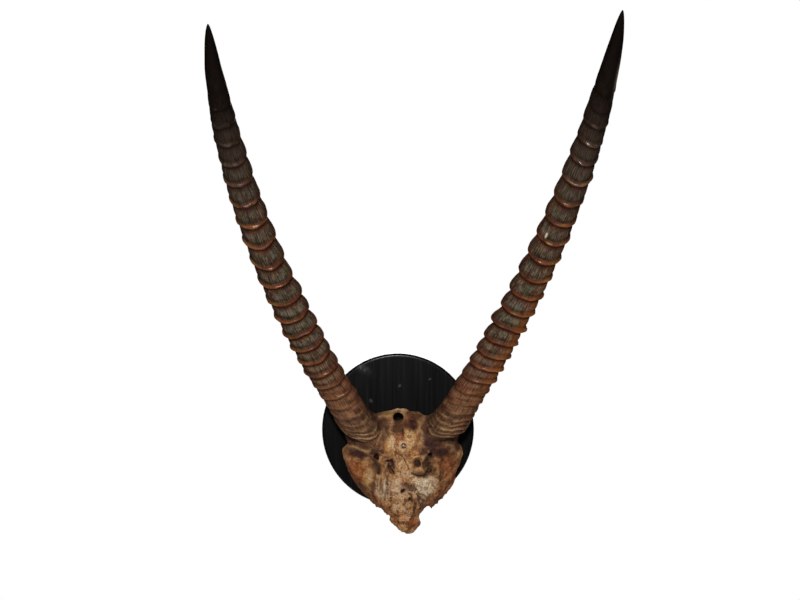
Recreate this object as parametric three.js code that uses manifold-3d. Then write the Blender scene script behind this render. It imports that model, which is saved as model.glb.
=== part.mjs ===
// A pair of long ringed antelope horns on their sawn skull cap, screwed to a round board of ebonised wood.
// Lengths are millimetres and +Z is up. The wall is the plane y = 0 and the room lies towards -Y.
// The origin is the centre of the board's flat back. Left and right are as seen from the room.

import * as THREE from 'three';
import { mergeVertices } from 'three/addons/utils/BufferGeometryUtils.js';
import Module from 'manifold-3d';

const wasm = await Module();
wasm.setup();

// Driving dimensions

const gap = 0.3; // clearance between pieces that touch
const reach = 2; // how far a cutter runs past the face that it cuts

const boardRadius = 90;
const boardThickness = 18;
const boardFrontRound = 3; // radius of the rounded front rim
const boardBackEase = 0.8; // bevel of the back rim
const boardSides = 60;

// Each horn's axis as a cubic curve, from the base to the tip. It leaves the skull nearly flat
// against the wall and bends forward all the way up.
const hornAxes = {
  left: [[-43, -52, 5], [-136, -66, 134], [-202, -131, 315], [-206, -219, 453]],
  right: [[55, -52, 5], [154, -66, 148], [223.5, -131, 316], [244, -219, 468]],
};
const hornSides = 12;
const hornRadius = 20.15; // along the lower half, halfway between ridges and hollows
const hornTaperPower = 3.4; // higher keeps the thickness further up
const hornTipPower = 0.62; // lower makes a blunter tip
const hornFlare = 4.2; // extra radius at the very base
const hornFlareLength = 11;
const hornWaist = 0.8; // less radius above the base
const waistEnd = [30, 110]; // heights between which the waist dies away
const hornSlim = 0.65; // less radius along the middle
const slimHeight = 250;
const slimSpread = 85;
const hornDepthAtBase = 1.12; // front to back over side to side, falling to 1 at the tip
const tipSections = [85, 70, 50, 32, 18, 8, 3, 0.8]; // distances from the tip of the smooth sections

// The growth rings. The highest ring of each horn, and the distance from a ring to the next one
// below it, by height along the axis: crowded at the base, widest in the upper half.
const topRing = { left: 424, right: 446.2 };
const pitchHeights = [5, 14, 24, 34, 52, 75, 105, 150, 208, 348, 448];
const pitches = [3.5, 4.4, 6.5, 10, 14.2, 16.6, 16.8, 19.9, 24.1, 25.3, 19];
const lowestRing = 1;
const crowdedPitch = 9; // rings closer than this have a simple section
// Half of the height from hollow to lip, by height along the axis.
const reliefHeights = [0, 55, 80, 125, 145, 170, 210, 250, 315, 340, 365, 385, 430, 450];
const reliefs = [0.9, 0.6, 1, 1.7, 2.3, 1.8, 1.45, 1.4, 1, 1.2, 0.95, 0.5, 0.3, 0.2];
// A ring's section below its lip: share of the pitch, then share of the relief.
const ringSection = [[0, 1], [0.16, -0.95], [0.6, -0.15], [0.88, -0.4]];
const crowdedSection = [[0, 1], [0.5, -1]];

// The rings are not square to the axis. By height along the axis, how far each one dips at the
// front, is lifted at the side away from the other horn, and is moved as a whole. The base margin
// follows the skull, so it dips and lifts the most.
const slopeHeights = [0, 14, 45, 80, 110, 150, 190, 225, 270, 340, 400];
const frontDip = {
  left: [20, 16, 9.5, 8.4, 7.3, 8, 9.4, 11.6, 9.4, 8.4, 6.2],
  right: [16, 9.5, 6, 3.8, 2.6, 3.4, 5, 7.6, 8.8, 8.2, 6],
};
const sideLift = {
  left: [12, 9, 3.5, 1.8, 1.2, 0.8, 3.2, 2.2, 0.3, 0, 0],
  right: [8, 7.5, 7.5, 5.6, 3.8, 2.6, 2.4, 1.6, 0.9, -0.3, -1.7],
};
const ringShift = {
  left: [0, 0, 0.5, -1, -1.6, -2.2, -2.5, -1.7, -0.3, 0.8, 0],
  right: [0, 0, 0, -1.2, -1.6, -1.2, -1.2, -0.8, 0, 0.5, 0],
};
const shiftRise = [0, 40]; // heights between which the move comes in
const tipFade = [10, 80]; // distances from the tip between which all three come in

// The skull cap's outline, x and z, clockwise from the crown's left corner. The stretches under
// the horns are hidden by them.
const skullRim = [
  [-27, 20.5], [-9.5, 23.5], [-1, 26], [7, 26.5], [15, 23], [25, 22], [32, 18],
  [44, 21], [58, 20], [70, 12], [74, 0], [70, -12], [77, -27], [76, -39], [69.5, -55], [64, -67],
  [47, -87], [40, -94], [34, -91], [25, -100], [27, -112], [16, -123.2], [6, -122],
  [-9.5, -107], [-9.5, -101], [-18.5, -94], [-26, -90], [-42.5, -73], [-51, -62], [-58, -50],
  [-61, -42], [-65, -31], [-65, -22], [-59, -14], [-62, -6], [-60, 6], [-52, 16], [-40, 21],
];
const skullCentre = [4, -42]; // middle of the surface's rays, x and z
const skullRays = 56;
const skullSteps = 9;
const stepCrowding = 1.1; // higher draws the steps in towards the middle
const browZ = -18; // height of the forehead's most forward line
const browDepth = 68; // its distance from the wall
const crownFall = 0.0124; // the bone falls back with the square of the height over the brow
const noseFall = 0.037; // and with the power 1.5 of the depth below it
const noseFallPower = 1.5;
const sideWidth = [87, 0.58, 22, 70]; // half width: at height 0, gain per mm of height, least, most
const sideFall = [37, 0.2, 12, 31]; // how far the sides lie behind the ridge, in the same way
const sideFallPower = 2.2;
const sideReach = 1.15; // the fall stops growing at this share of the half width
const pedicles = [[-36, -6], [48, -6]]; // the swellings that carry the horns, x and z
const pedicleRise = 11;
const pedicleSpread = 14;
const pits = [[-26, -27, 3.6], [36, -24.5, 3.6], [22.5, -33.5, 3.6]]; // foramina: x, z and radius
const pitDepth = 5;
const crownHole = [0.4, 16.2]; // drilled through the crown, x and z
const crownHoleRadius = 6.2;
const crownHoleSides = 20;
const orbits = [[-68, -38], [79, -38]]; // the eye sockets' roofs, cut from behind at the sides
const orbitRadii = [24, 11, 19];
const orbitSunk = 2; // their middle lies this far in front of the board
const noseHollow = [5, -16, -100]; // the hollow under the nasal bones
const noseHollowRadii = [14, 11.5, 37];

const plateWidth = 16;
const plateHeight = 36;
const plateThickness = 2;
const plateZ = 60; // middle of the hanger plate
const plateCornerRadius = 3;
const plateInset = 0.2; // the plate lies this far inside the board's back
const keyEntryRadius = 4.25; // where the wall screw's head goes in
const keySlotRadius = 2.3; // where its shank slides up
const keyEntryZ = -5; // from the plate's middle
const keySlotTop = 6;
const pocketRadius = 6; // hollow behind the plate for the wall screw's head
const pocketDepth = 9.5; // from the board's back

const plateScrew = { head: 3, shank: 1.5, headDepth: 1.6, length: 13 };
const plateScrewOffset = 13.5;
const skullScrew = { head: 4.5, shank: 2.2, headDepth: 3.2, length: 44 };
const skullScrewPlaces = { left: [-20, -30], right: [28, -30] };
const skullScrewInset = 0.4;
const screwSides = 16;
const screwPoint = 4;
const slotWidth = 0.9;

const browScrew = { head: 3, dome: 1.9, shank: 1.6, length: 58 };
const browScrewPlace = [6.6, -16];
const browScrewProud = 0.2; // gap between its head and the bone
const browSeatDepth = 1.2; // the head sits in a small spot face

// Solids

function toSolid(geometry) {
  const plain = geometry.clone();
  plain.deleteAttribute('normal');
  plain.deleteAttribute('uv');
  const merged = mergeVertices(plain, 1e-4);
  const corners = merged.index.array;
  const kept = [];
  for (let i = 0; i < corners.length; i += 3) {
    const [a, b, c] = corners.slice(i, i + 3);
    if (a !== b && b !== c && c !== a) kept.push(a, b, c); // drops the flat triangles at the poles
  }
  const mesh = new wasm.Mesh({
    numProp: 3,
    vertProperties: new Float32Array(merged.attributes.position.array),
    triVerts: new Uint32Array(kept),
  });
  return new wasm.Manifold(mesh);
}

function toGeometry(solid) {
  const { vertProperties, triVerts } = solid.getMesh();
  const geometry = new THREE.BufferGeometry();
  geometry.setAttribute('position', new THREE.BufferAttribute(vertProperties, 3));
  geometry.setIndex(new THREE.BufferAttribute(triVerts, 1));
  geometry.computeVertexNormals();
  return geometry;
}

function smooth(from, to, value) {
  return THREE.MathUtils.smoothstep(value, from, to);
}

function bell(distance, spread) {
  return Math.exp(-0.5 * (distance / spread) ** 2);
}

// Straight lines between the given points, level beyond them.
function alongLine(places, values, place) {
  let i = 0;
  while (i < places.length - 2 && place > places[i + 1]) i += 1;
  const part = THREE.MathUtils.clamp((place - places[i]) / (places[i + 1] - places[i]), 0, 1);
  return THREE.MathUtils.lerp(values[i], values[i + 1], part);
}

// Horns

function ringHeights(side) {
  const heights = [topRing[side]];
  while (heights.at(-1) > lowestRing) {
    heights.push(heights.at(-1) - alongLine(pitchHeights, pitches, heights.at(-1)));
  }
  heights.pop();
  return heights;
}

// Mean radius: nearly even along the lower half, closing to nothing at the tip.
function meanRadius(height, length) {
  const fromTip = THREE.MathUtils.clamp((length - height) / length, 0, 1);
  const taper = (1 - (1 - fromTip) ** hornTaperPower) ** hornTipPower;
  const flare = hornFlare * Math.exp(-height / hornFlareLength);
  const waist = hornWaist * (1 - smooth(...waistEnd, height));
  return hornRadius * taper + flare - waist - hornSlim * bell(height - slimHeight, slimSpread);
}

// Radius and height along the axis, from the middle of the base to the tip. Below each lip the
// horn steps in sharply, then swells and is slightly cupped above the next lip.
function hornProfile(side, length, grow) {
  const point = (height, relief) => {
    const radius = meanRadius(height, length) + relief + grow;
    return new THREE.Vector2(radius, height);
  };
  const points = [new THREE.Vector2(0, length + grow)];
  for (const fromTip of [...tipSections].reverse()) points.push(point(length - fromTip, 0));
  const heights = ringHeights(side);
  for (const [i, lip] of heights.entries()) {
    const pitch = lip - (heights[i + 1] ?? 0);
    const relief = alongLine(reliefHeights, reliefs, lip);
    const section = pitch < crowdedPitch ? crowdedSection : ringSection;
    for (const [below, share] of section) points.push(point(lip - below * pitch, share * relief));
  }
  points.push(point(0, 0));
  points.at(-1).y = -grow;
  points.push(new THREE.Vector2(0, -grow));
  return points.reverse();
}

// The straight turned horn is bent along its axis, and each ring is tilted as it goes.
function hornGeometry(side, grow) {
  const corners = hornAxes[side].map((corner) => new THREE.Vector3(...corner));
  const axis = new THREE.CubicBezierCurve3(...corners);
  const length = axis.getLength();
  const outward = side === 'left' ? -1 : 1;
  const geometry = new THREE.LatheGeometry(hornProfile(side, length, grow), hornSides);
  const vertices = geometry.attributes.position;
  for (let i = 0; i < vertices.count; i += 1) {
    const [across, height, forward] = [vertices.getX(i), vertices.getY(i), vertices.getZ(i)];
    const part = THREE.MathUtils.clamp(height / length, 0, 1);
    const along = axis.getTangentAt(part);
    const front = new THREE.Vector3(0, -1, 0);
    front.addScaledVector(along, -front.dot(along)).normalize();
    const right = new THREE.Vector3().crossVectors(along, front);
    const radius = Math.hypot(across, forward) || 1;
    const dip = alongLine(slopeHeights, frontDip[side], height);
    const lift = alongLine(slopeHeights, sideLift[side], height);
    const shift = alongLine(slopeHeights, ringShift[side], height) * smooth(...shiftRise, height);
    const fade = smooth(...tipFade, length - height);
    const slide = fade * (shift + (outward * lift * across - dip * forward) / radius);
    const depth = THREE.MathUtils.lerp(hornDepthAtBase, 1, part);
    const place = axis.getPointAt(part);
    place.addScaledVector(along, height - part * length + slide);
    place.addScaledVector(right, across);
    place.addScaledVector(front, forward * depth);
    vertices.setXYZ(i, place.x, place.y, place.z);
  }
  return geometry;
}

// Skull cap

// Distance of the bone's face from the wall: a ridge down the middle, falling to both sides,
// with a swelling under each horn and a pit at each foramen.
function boneDepth(x, z) {
  const above = Math.max(0, z - browZ);
  const below = Math.max(0, browZ - z);
  const ridge = browDepth - crownFall * above ** 2 - noseFall * below ** noseFallPower;
  const atHeight = ([start, gain, least, most]) => THREE.MathUtils.clamp(start + gain * z, least, most);
  const across = Math.min(sideReach, Math.abs(x - skullCentre[0]) / atHeight(sideWidth));
  let depth = ridge - atHeight(sideFall) * across ** sideFallPower;
  for (const [px, pz] of pedicles) depth += pedicleRise * bell(Math.hypot(x - px, z - pz), pedicleSpread);
  for (const [px, pz, radius] of pits) depth -= pitDepth * bell(Math.hypot(x - px, z - pz), radius);
  return depth;
}

// Rays run from the middle to the rim, and the back is flat where the skull was sawn off.
function skullGeometry() {
  const corners = skullRim.map(([x, z]) => new THREE.Vector3(x, 0, z));
  const rim = new THREE.CatmullRomCurve3(corners, true, 'centripetal').getSpacedPoints(skullRays);
  rim.pop();
  const sawn = -boardThickness - gap;
  const [cx, cz] = skullCentre;
  const positions = [cx, -boneDepth(cx, cz), cz];
  for (let step = 1; step <= skullSteps; step += 1) {
    const part = Math.sin((0.5 * Math.PI * step) / skullSteps) ** stepCrowding;
    for (const corner of rim) {
      const x = cx + (corner.x - cx) * part;
      const z = cz + (corner.z - cz) * part;
      positions.push(x, -boneDepth(x, z), z);
    }
  }
  for (const corner of rim) positions.push(corner.x, sawn, corner.z);
  positions.push(cx, sawn, cz);
  const faces = [];
  const backMiddle = positions.length / 3 - 1;
  const vertex = (ring, ray) => 1 + ring * skullRays + (ray % skullRays);
  for (let ray = 0; ray < skullRays; ray += 1) {
    faces.push(0, vertex(0, ray + 1), vertex(0, ray));
    for (let ring = 0; ring < skullSteps; ring += 1) {
      faces.push(vertex(ring, ray), vertex(ring + 1, ray + 1), vertex(ring + 1, ray));
      faces.push(vertex(ring, ray), vertex(ring, ray + 1), vertex(ring + 1, ray + 1));
    }
    faces.push(backMiddle, vertex(skullSteps, ray), vertex(skullSteps, ray + 1));
  }
  const geometry = new THREE.BufferGeometry();
  geometry.setAttribute('position', new THREE.BufferAttribute(new Float32Array(positions), 3));
  geometry.setIndex(faces);
  return geometry;
}

function ellipsoid(centre, radii) {
  const geometry = new THREE.SphereGeometry(1, 16, 10);
  geometry.scale(...radii);
  geometry.translate(...centre);
  return toSolid(geometry);
}

// Board

function boardGeometry() {
  const rim = boardRadius - boardFrontRound;
  const face = boardThickness - boardFrontRound;
  const points = [
    new THREE.Vector2(0, 0),
    new THREE.Vector2(boardRadius - boardBackEase, 0),
    new THREE.Vector2(boardRadius, boardBackEase),
  ];
  const roundSteps = 4;
  for (let i = 0; i <= roundSteps; i += 1) {
    const turn = (0.5 * Math.PI * i) / roundSteps;
    const [out, up] = [boardFrontRound * Math.cos(turn), boardFrontRound * Math.sin(turn)];
    points.push(new THREE.Vector2(rim + out, face + up));
  }
  points.push(new THREE.Vector2(0, boardThickness));
  return new THREE.LatheGeometry(points, boardSides).rotateX(Math.PI);
}

function plateOutline(grow) {
  const halfWidth = plateWidth / 2 + grow;
  const halfHeight = plateHeight / 2 + grow;
  const radius = plateCornerRadius + grow;
  const shape = new THREE.Shape();
  shape.absarc(halfWidth - radius, halfHeight - radius, radius, 0, Math.PI / 2);
  shape.absarc(radius - halfWidth, halfHeight - radius, radius, Math.PI / 2, Math.PI);
  shape.absarc(radius - halfWidth, radius - halfHeight, radius, Math.PI, 1.5 * Math.PI);
  shape.absarc(halfWidth - radius, radius - halfHeight, radius, 1.5 * Math.PI, 2 * Math.PI);
  return shape;
}

// A round entry with a narrower slot rising from it.
function keyhole() {
  const path = new THREE.Path();
  const meet = Math.asin(keySlotRadius / keyEntryRadius);
  path.absarc(0, keyEntryZ, keyEntryRadius, Math.PI / 2 + meet, 2.5 * Math.PI - meet);
  path.absarc(0, keySlotTop, keySlotRadius, 0, Math.PI);
  path.closePath();
  return path;
}

function pocketOutline() {
  const shape = new THREE.Shape();
  shape.absarc(0, keySlotTop, pocketRadius, 0, Math.PI);
  shape.absarc(0, keyEntryZ, pocketRadius, Math.PI, 2 * Math.PI);
  return shape;
}

// A flat outline in x and z, thickened from one distance behind the board's back to another.
function slab(shape, from, to) {
  const options = { depth: to - from, bevelEnabled: false, curveSegments: 6 };
  const geometry = new THREE.ExtrudeGeometry(shape, options);
  return geometry.rotateX(Math.PI / 2).translate(0, -from, plateZ);
}

// Screws

// A countersunk screw with its head's face at y = 0 and its point towards -Y. grow makes the
// hole for it, which also runs past the face.
function countersunk({ head, shank, headDepth, length }, grow) {
  const tip = grow ? length + grow : length;
  const points = [
    new THREE.Vector2(0, -tip),
    new THREE.Vector2(shank + grow, -(tip - screwPoint)),
    new THREE.Vector2(shank + grow, -headDepth),
    new THREE.Vector2(head + grow, -0.3),
    new THREE.Vector2(head + grow, grow ? reach : 0),
    new THREE.Vector2(0, grow ? reach : 0),
  ];
  return new THREE.LatheGeometry(points, screwSides);
}

function slotCutter(width, depth, span) {
  return new THREE.BoxGeometry(span, 2 * depth, width);
}

// A round-headed screw facing the room, with the underside of its head at y = 0.
function roundHeaded({ head, dome, shank, length }) {
  const points = [new THREE.Vector2(0, -length), new THREE.Vector2(shank, screwPoint - length)];
  points.push(new THREE.Vector2(shank, 0), new THREE.Vector2(head, 0));
  const domeSteps = 4;
  for (let i = 1; i < domeSteps; i += 1) {
    const turn = (0.5 * Math.PI * i) / domeSteps;
    points.push(new THREE.Vector2(head * Math.cos(turn), dome * Math.sin(turn)));
  }
  points.push(new THREE.Vector2(0, dome));
  return new THREE.LatheGeometry(points, screwSides).rotateX(Math.PI);
}

// Pieces and their holes

const [browX, browScrewZ] = browScrewPlace;
const browSeat = boneDepth(browX, browScrewZ) - browSeatDepth;
const seatRadius = browScrew.head + 2 * gap;
const seatHeight = 10;
const seatCut = toSolid(new THREE.CylinderGeometry(seatRadius, seatRadius, seatHeight, screwSides))
  .translate([browX, browScrewProud - browSeat - seatHeight / 2, browScrewZ]);
const shankRadius = browScrew.shank + gap;
const shankLength = browScrew.length + gap + reach;
const shankCut = toSolid(new THREE.CylinderGeometry(shankRadius, shankRadius, shankLength, screwSides))
  .translate([browX, -browSeat - reach + shankLength / 2, browScrewZ]);

const skullScrewCuts = {};
for (const [side, [x, z]] of Object.entries(skullScrewPlaces)) {
  skullScrewCuts[side] = toSolid(countersunk(skullScrew, gap)).translate([x, -skullScrewInset, z]);
}
const plateScrewHeights = { upper: plateZ + plateScrewOffset, lower: plateZ - plateScrewOffset };
const plateScrewCuts = {};
for (const [place, z] of Object.entries(plateScrewHeights)) {
  plateScrewCuts[place] = toSolid(countersunk(plateScrew, gap)).translate([0, -plateInset, z]);
}

function makeBoard() {
  let board = toSolid(boardGeometry());
  board = board.subtract(toSolid(slab(plateOutline(gap), -reach, plateInset + plateThickness + gap)));
  board = board.subtract(toSolid(slab(pocketOutline(), -reach, pocketDepth)));
  for (const cut of [...Object.values(plateScrewCuts), ...Object.values(skullScrewCuts), shankCut]) {
    board = board.subtract(cut);
  }
  return toGeometry(board);
}

function makeSkull() {
  let skull = toSolid(skullGeometry());
  const hole = new THREE.CylinderGeometry(crownHoleRadius, crownHoleRadius, 2 * browDepth, crownHoleSides);
  skull = skull.subtract(toSolid(hole).translate([crownHole[0], -browDepth, crownHole[1]]));
  for (const [x, z] of orbits) {
    skull = skull.subtract(ellipsoid([x, -boardThickness - orbitSunk, z], orbitRadii));
  }
  skull = skull.subtract(ellipsoid(noseHollow, noseHollowRadii));
  for (const side of ['left', 'right']) skull = skull.subtract(toSolid(hornGeometry(side, gap)));
  for (const cut of [...Object.values(skullScrewCuts), seatCut, shankCut]) skull = skull.subtract(cut);
  return toGeometry(skull);
}

function makePlate() {
  const outline = plateOutline(0);
  outline.holes.push(keyhole());
  let plate = toSolid(slab(outline, plateInset, plateInset + plateThickness));
  for (const cut of Object.values(plateScrewCuts)) plate = plate.subtract(cut);
  return toGeometry(plate);
}

function makeCountersunk(screw) {
  const depth = screw.headDepth / 3;
  const slot = toSolid(slotCutter(slotWidth, depth, 3 * screw.head));
  return toGeometry(toSolid(countersunk(screw, 0)).subtract(slot));
}

function makeBrowScrew() {
  const depth = browScrew.dome / 2;
  const slot = toSolid(slotCutter(slotWidth, depth, 3 * browScrew.head)).translate([0, -browScrew.dome, 0]);
  return toGeometry(toSolid(roundHeaded(browScrew)).subtract(slot));
}

const finishes = {
  ebonised: { color: '#17161a', roughness: 0.45, metalness: 0 },
  bone: { color: '#a3794c', roughness: 0.75, metalness: 0 },
  horn: { color: '#5a3520', roughness: 0.45, metalness: 0 },
  steel: { color: '#8d8a84', roughness: 0.4, metalness: 1 },
};

const model = new THREE.Group();

function addPiece(name, geometry, finish, place = [0, 0, 0]) {
  const piece = new THREE.Mesh(geometry, new THREE.MeshStandardMaterial(finishes[finish]));
  piece.name = name;
  piece.position.set(...place);
  model.add(piece);
}

addPiece('board', makeBoard(), 'ebonised');
addPiece('skull', makeSkull(), 'bone');
for (const side of ['left', 'right']) {
  addPiece(`horn_${side}`, toGeometry(toSolid(hornGeometry(side, 0))), 'horn');
}
addPiece('forehead_screw', makeBrowScrew(), 'steel', [browX, -browSeat, browScrewZ]);
for (const [side, [x, z]] of Object.entries(skullScrewPlaces)) {
  addPiece(`skull_screw_${side}`, makeCountersunk(skullScrew), 'steel', [x, -skullScrewInset, z]);
}
addPiece('hanger_plate', makePlate(), 'steel');
for (const [place, z] of Object.entries(plateScrewHeights)) {
  addPiece(`hanger_screw_${place}`, makeCountersunk(plateScrew), 'steel', [0, -plateInset, z]);
}

export default model;
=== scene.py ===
import math
from types import SimpleNamespace

import bpy
import numpy as np
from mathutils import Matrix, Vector


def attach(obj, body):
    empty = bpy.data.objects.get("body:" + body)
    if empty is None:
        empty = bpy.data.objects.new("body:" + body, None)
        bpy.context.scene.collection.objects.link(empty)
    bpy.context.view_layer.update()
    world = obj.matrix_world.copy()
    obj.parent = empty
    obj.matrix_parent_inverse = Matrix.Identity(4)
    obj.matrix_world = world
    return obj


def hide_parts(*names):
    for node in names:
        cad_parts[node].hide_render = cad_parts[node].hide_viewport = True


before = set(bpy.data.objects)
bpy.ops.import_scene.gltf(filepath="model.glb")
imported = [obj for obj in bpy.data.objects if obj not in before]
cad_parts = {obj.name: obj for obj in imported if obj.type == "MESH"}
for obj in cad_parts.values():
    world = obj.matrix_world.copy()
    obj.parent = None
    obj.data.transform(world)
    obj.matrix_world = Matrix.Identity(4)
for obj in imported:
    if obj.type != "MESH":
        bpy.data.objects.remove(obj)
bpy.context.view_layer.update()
mm = 0.001


def linear(hexColour):
    # sRGB to linear light: a straight line near black, a power of 2.4 above it
    channels = [int(hexColour[i:i + 2], 16) / 255 for i in (1, 3, 5)]
    light = [c / 12.92 if c <= 0.04045 else ((c + 0.055) / 1.055) ** 2.4 for c in channels]
    return (*light, 1.0)


def ease(low, high, value):
    # 0 below low, 1 above high, and 3t^2 - 2t^3 between them
    t = np.clip((value - low) / (high - low), 0, 1)
    return t * t * (3 - 2 * t)


def bell(distance, spread):
    # falls from 1 with the square of the distance, as e^(-d^2 / 2s^2)
    return np.exp(-0.5 * (distance / spread) ** 2)


def softNoise(points, cell, seed):
    # value noise from -1 to 1: random values at the corners of cubes of the given size,
    # blended across each cube with ease curves
    table = np.random.default_rng(seed).uniform(-1, 1, 4096)
    scaled = points / cell
    low = np.floor(scaled).astype(np.int64)
    part = scaled - low
    part = part * part * (3 - 2 * part)
    total = np.zeros(points.shape[:-1])
    for corner in np.ndindex(2, 2, 2):
        at = low + corner
        key = (at[..., 0] * 73856093) ^ (at[..., 1] * 19349663) ^ (at[..., 2] * 83492791)
        weight = np.prod(np.where(corner, part, 1 - part), axis=-1)
        total += weight * table[key & 4095]
    return total


def roughNoise(points, cell, seed, layers=4):
    # sum of soft noises, each half the size and half the height of the one before
    total = sum(softNoise(points, cell / 2 ** i, seed + i) / 2 ** i for i in range(layers))
    return total / (2 - 0.5 ** (layers - 1))


def vertexPlaces(mesh):
    # the vertices' places in mm, one row each
    places = np.empty(len(mesh.vertices) * 3, np.float32)
    mesh.vertices.foreach_get("co", places)
    return places.reshape(-1, 3).astype(float) / mm


def outwardVolume(mesh):
    # six times the volume, as the sum over triangles of a . (b x c); negative if inside out
    mesh.calc_loop_triangles()
    tris = np.empty(len(mesh.loop_triangles) * 3, np.int32)
    mesh.loop_triangles.foreach_get("vertices", tris)
    a, b, c = np.moveaxis(vertexPlaces(mesh)[tris.reshape(-1, 3)], 1, 0)
    return float((a * np.cross(b, c)).sum())


def makeMesh(name, points, quads, tris):
    # a smooth mesh in metres from points in mm, turned so that its faces point outwards
    mesh = bpy.data.meshes.new(name)
    corners = np.concatenate([quads.ravel(), tris.ravel()]).astype(np.int32)
    starts = np.concatenate([np.arange(len(quads)) * 4, len(quads) * 4 + np.arange(len(tris)) * 3])
    mesh.vertices.add(len(points))
    mesh.vertices.foreach_set("co", (points * mm).astype(np.float32).ravel())
    mesh.loops.add(len(corners))
    mesh.loops.foreach_set("vertex_index", corners)
    mesh.polygons.add(len(starts))
    mesh.polygons.foreach_set("loop_start", starts.astype(np.int32))
    mesh.polygons.foreach_set("use_smooth", np.ones(len(starts), bool))
    mesh.update(calc_edges=True)
    if outwardVolume(mesh) < 0:
        mesh.flip_normals()
    return mesh


def ringedMesh(name, grid, firstPole, lastPole):
    # rows of points that each run once around, joined row to row by quads, with both ends
    # closed by fans to a pole; the faces are turned outwards whichever way the rows run
    rows, columns = grid.shape[:2]
    index = np.arange(rows * columns).reshape(rows, columns)
    nextOne = np.roll(index, -1, axis=1)
    quads = np.stack([index[:-1], nextOne[:-1], nextOne[1:], index[1:]], axis=-1)
    first, last = rows * columns, rows * columns + 1
    under = np.stack([np.full(columns, first), nextOne[0], index[0]], axis=-1)
    over = np.stack([np.full(columns, last), index[-1], nextOne[-1]], axis=-1)
    points = np.concatenate([grid.reshape(-1, 3), [firstPole], [lastPole]])
    return makeMesh(name, points, quads.reshape(-1, 4), np.concatenate([under, over]))


def turned(name, profile, place, sides=96, squash=1.0):
    # a profile of (radius, distance in front of the place) carried once around the Y axis;
    # it starts and ends on the axis
    profile = np.array(profile, float)
    turn = np.linspace(0, 2 * np.pi, sides, endpoint=False)
    inner = profile[1:-1]
    grid = np.stack([
        place[0] + inner[:, :1] * np.sin(turn),
        place[1] - inner[:, 1:] + 0 * turn,
        place[2] - squash * inner[:, :1] * np.cos(turn),
    ], axis=-1)
    poles = [(place[0], place[1] - end[1], place[2]) for end in (profile[0], profile[-1])]
    return ringedMesh(name, grid, *poles)


def paint(mesh, name, values):
    # keeps one number or one vector for each vertex
    kind, field = ("FLOAT", "value") if values.ndim == 1 else ("FLOAT_VECTOR", "vector")
    layer = mesh.attributes.new(name, kind, "POINT")
    layer.data.foreach_set(field, values.astype(np.float32).ravel())


def cutAway(mesh, cutters):
    # subtracts closed meshes from a closed mesh
    body = bpy.data.objects.new("cutBody", mesh)
    bpy.context.scene.collection.objects.link(body)
    tools = []
    for cutter in cutters:
        tool = bpy.data.objects.new("cutTool", cutter)
        bpy.context.scene.collection.objects.link(tool)
        tools.append(tool)
        step = body.modifiers.new("cut", "BOOLEAN")
        step.operation, step.solver, step.object = "DIFFERENCE", "MANIFOLD", tool
    cut = body.evaluated_get(bpy.context.evaluated_depsgraph_get())
    shape = bpy.data.meshes.new_from_object(cut)
    for thing in [body, *tools]:
        bpy.data.objects.remove(thing)
    shape.name = mesh.name
    return shape


def addPiece(name, mesh, finish, cadNode, sharpAngle=None):
    # one finish, smooth but for edges sharper than the angle, in place of a node of the CAD
    mesh.materials.clear()
    mesh.materials.append(finish)
    mesh.polygons.foreach_set("material_index", np.zeros(len(mesh.polygons), np.int32))
    mesh.polygons.foreach_set("use_smooth", np.ones(len(mesh.polygons), bool))
    if sharpAngle:
        mesh.set_sharp_from_angle(angle=math.radians(sharpAngle))
    piece = bpy.data.objects.new(name, mesh)
    bpy.context.scene.collection.objects.link(piece)
    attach(piece, "root")
    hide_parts(cadNode)
    print("made", name, len(mesh.vertices), "vertices")


def newFinish(name):
    # a material with its nodes and its surface shader
    finish = bpy.data.materials.new(name)
    finish.use_nodes = True
    tree = finish.node_tree
    return finish, tree, tree.nodes["Principled BSDF"]


def setInputs(tree, made, inputs):
    # sets a node's inputs, or links those whose value is another node's output
    for name, value in inputs.items():
        socket = made.inputs[name]
        if isinstance(value, bpy.types.NodeSocket):
            tree.links.new(value, socket)
        else:
            socket.default_value = value


def node(tree, kind, inputs, output=0, stops=(), **settings):
    # adds a node with its settings, its inputs and a ramp's stops, and gives back one output
    made = tree.nodes.new("ShaderNode" + kind)
    for name, value in settings.items():
        setattr(made, name, value)
    setInputs(tree, made, inputs)
    if stops:
        elements = made.color_ramp.elements
        for i, (place, _) in enumerate(stops):
            element = elements[i] if i < 2 else elements.new(place)
            element.position = place
        for element, (_, tone) in zip(sorted(elements, key=lambda e: e.position), stops):
            element.color = linear(tone) if isinstance(tone, str) else (tone, tone, tone, 1)
    return made.outputs[output]


def overlaid(tree, base, layers):
    # lays colours over a base one by one: how each is laid, its colour, and the amounts that
    # are multiplied together to say how strongly
    for kind, colour, amount, *factors in layers:
        for factor in factors:
            amount = node(tree, "Math", {0: amount, 1: factor}, operation="MULTIPLY")
        inputs = {0: amount, 6: base, 7: linear(colour) if isinstance(colour, str) else colour}
        base = node(tree, "Mix", inputs, 2, data_type="RGBA", blend_type=kind)
    return base


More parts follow.
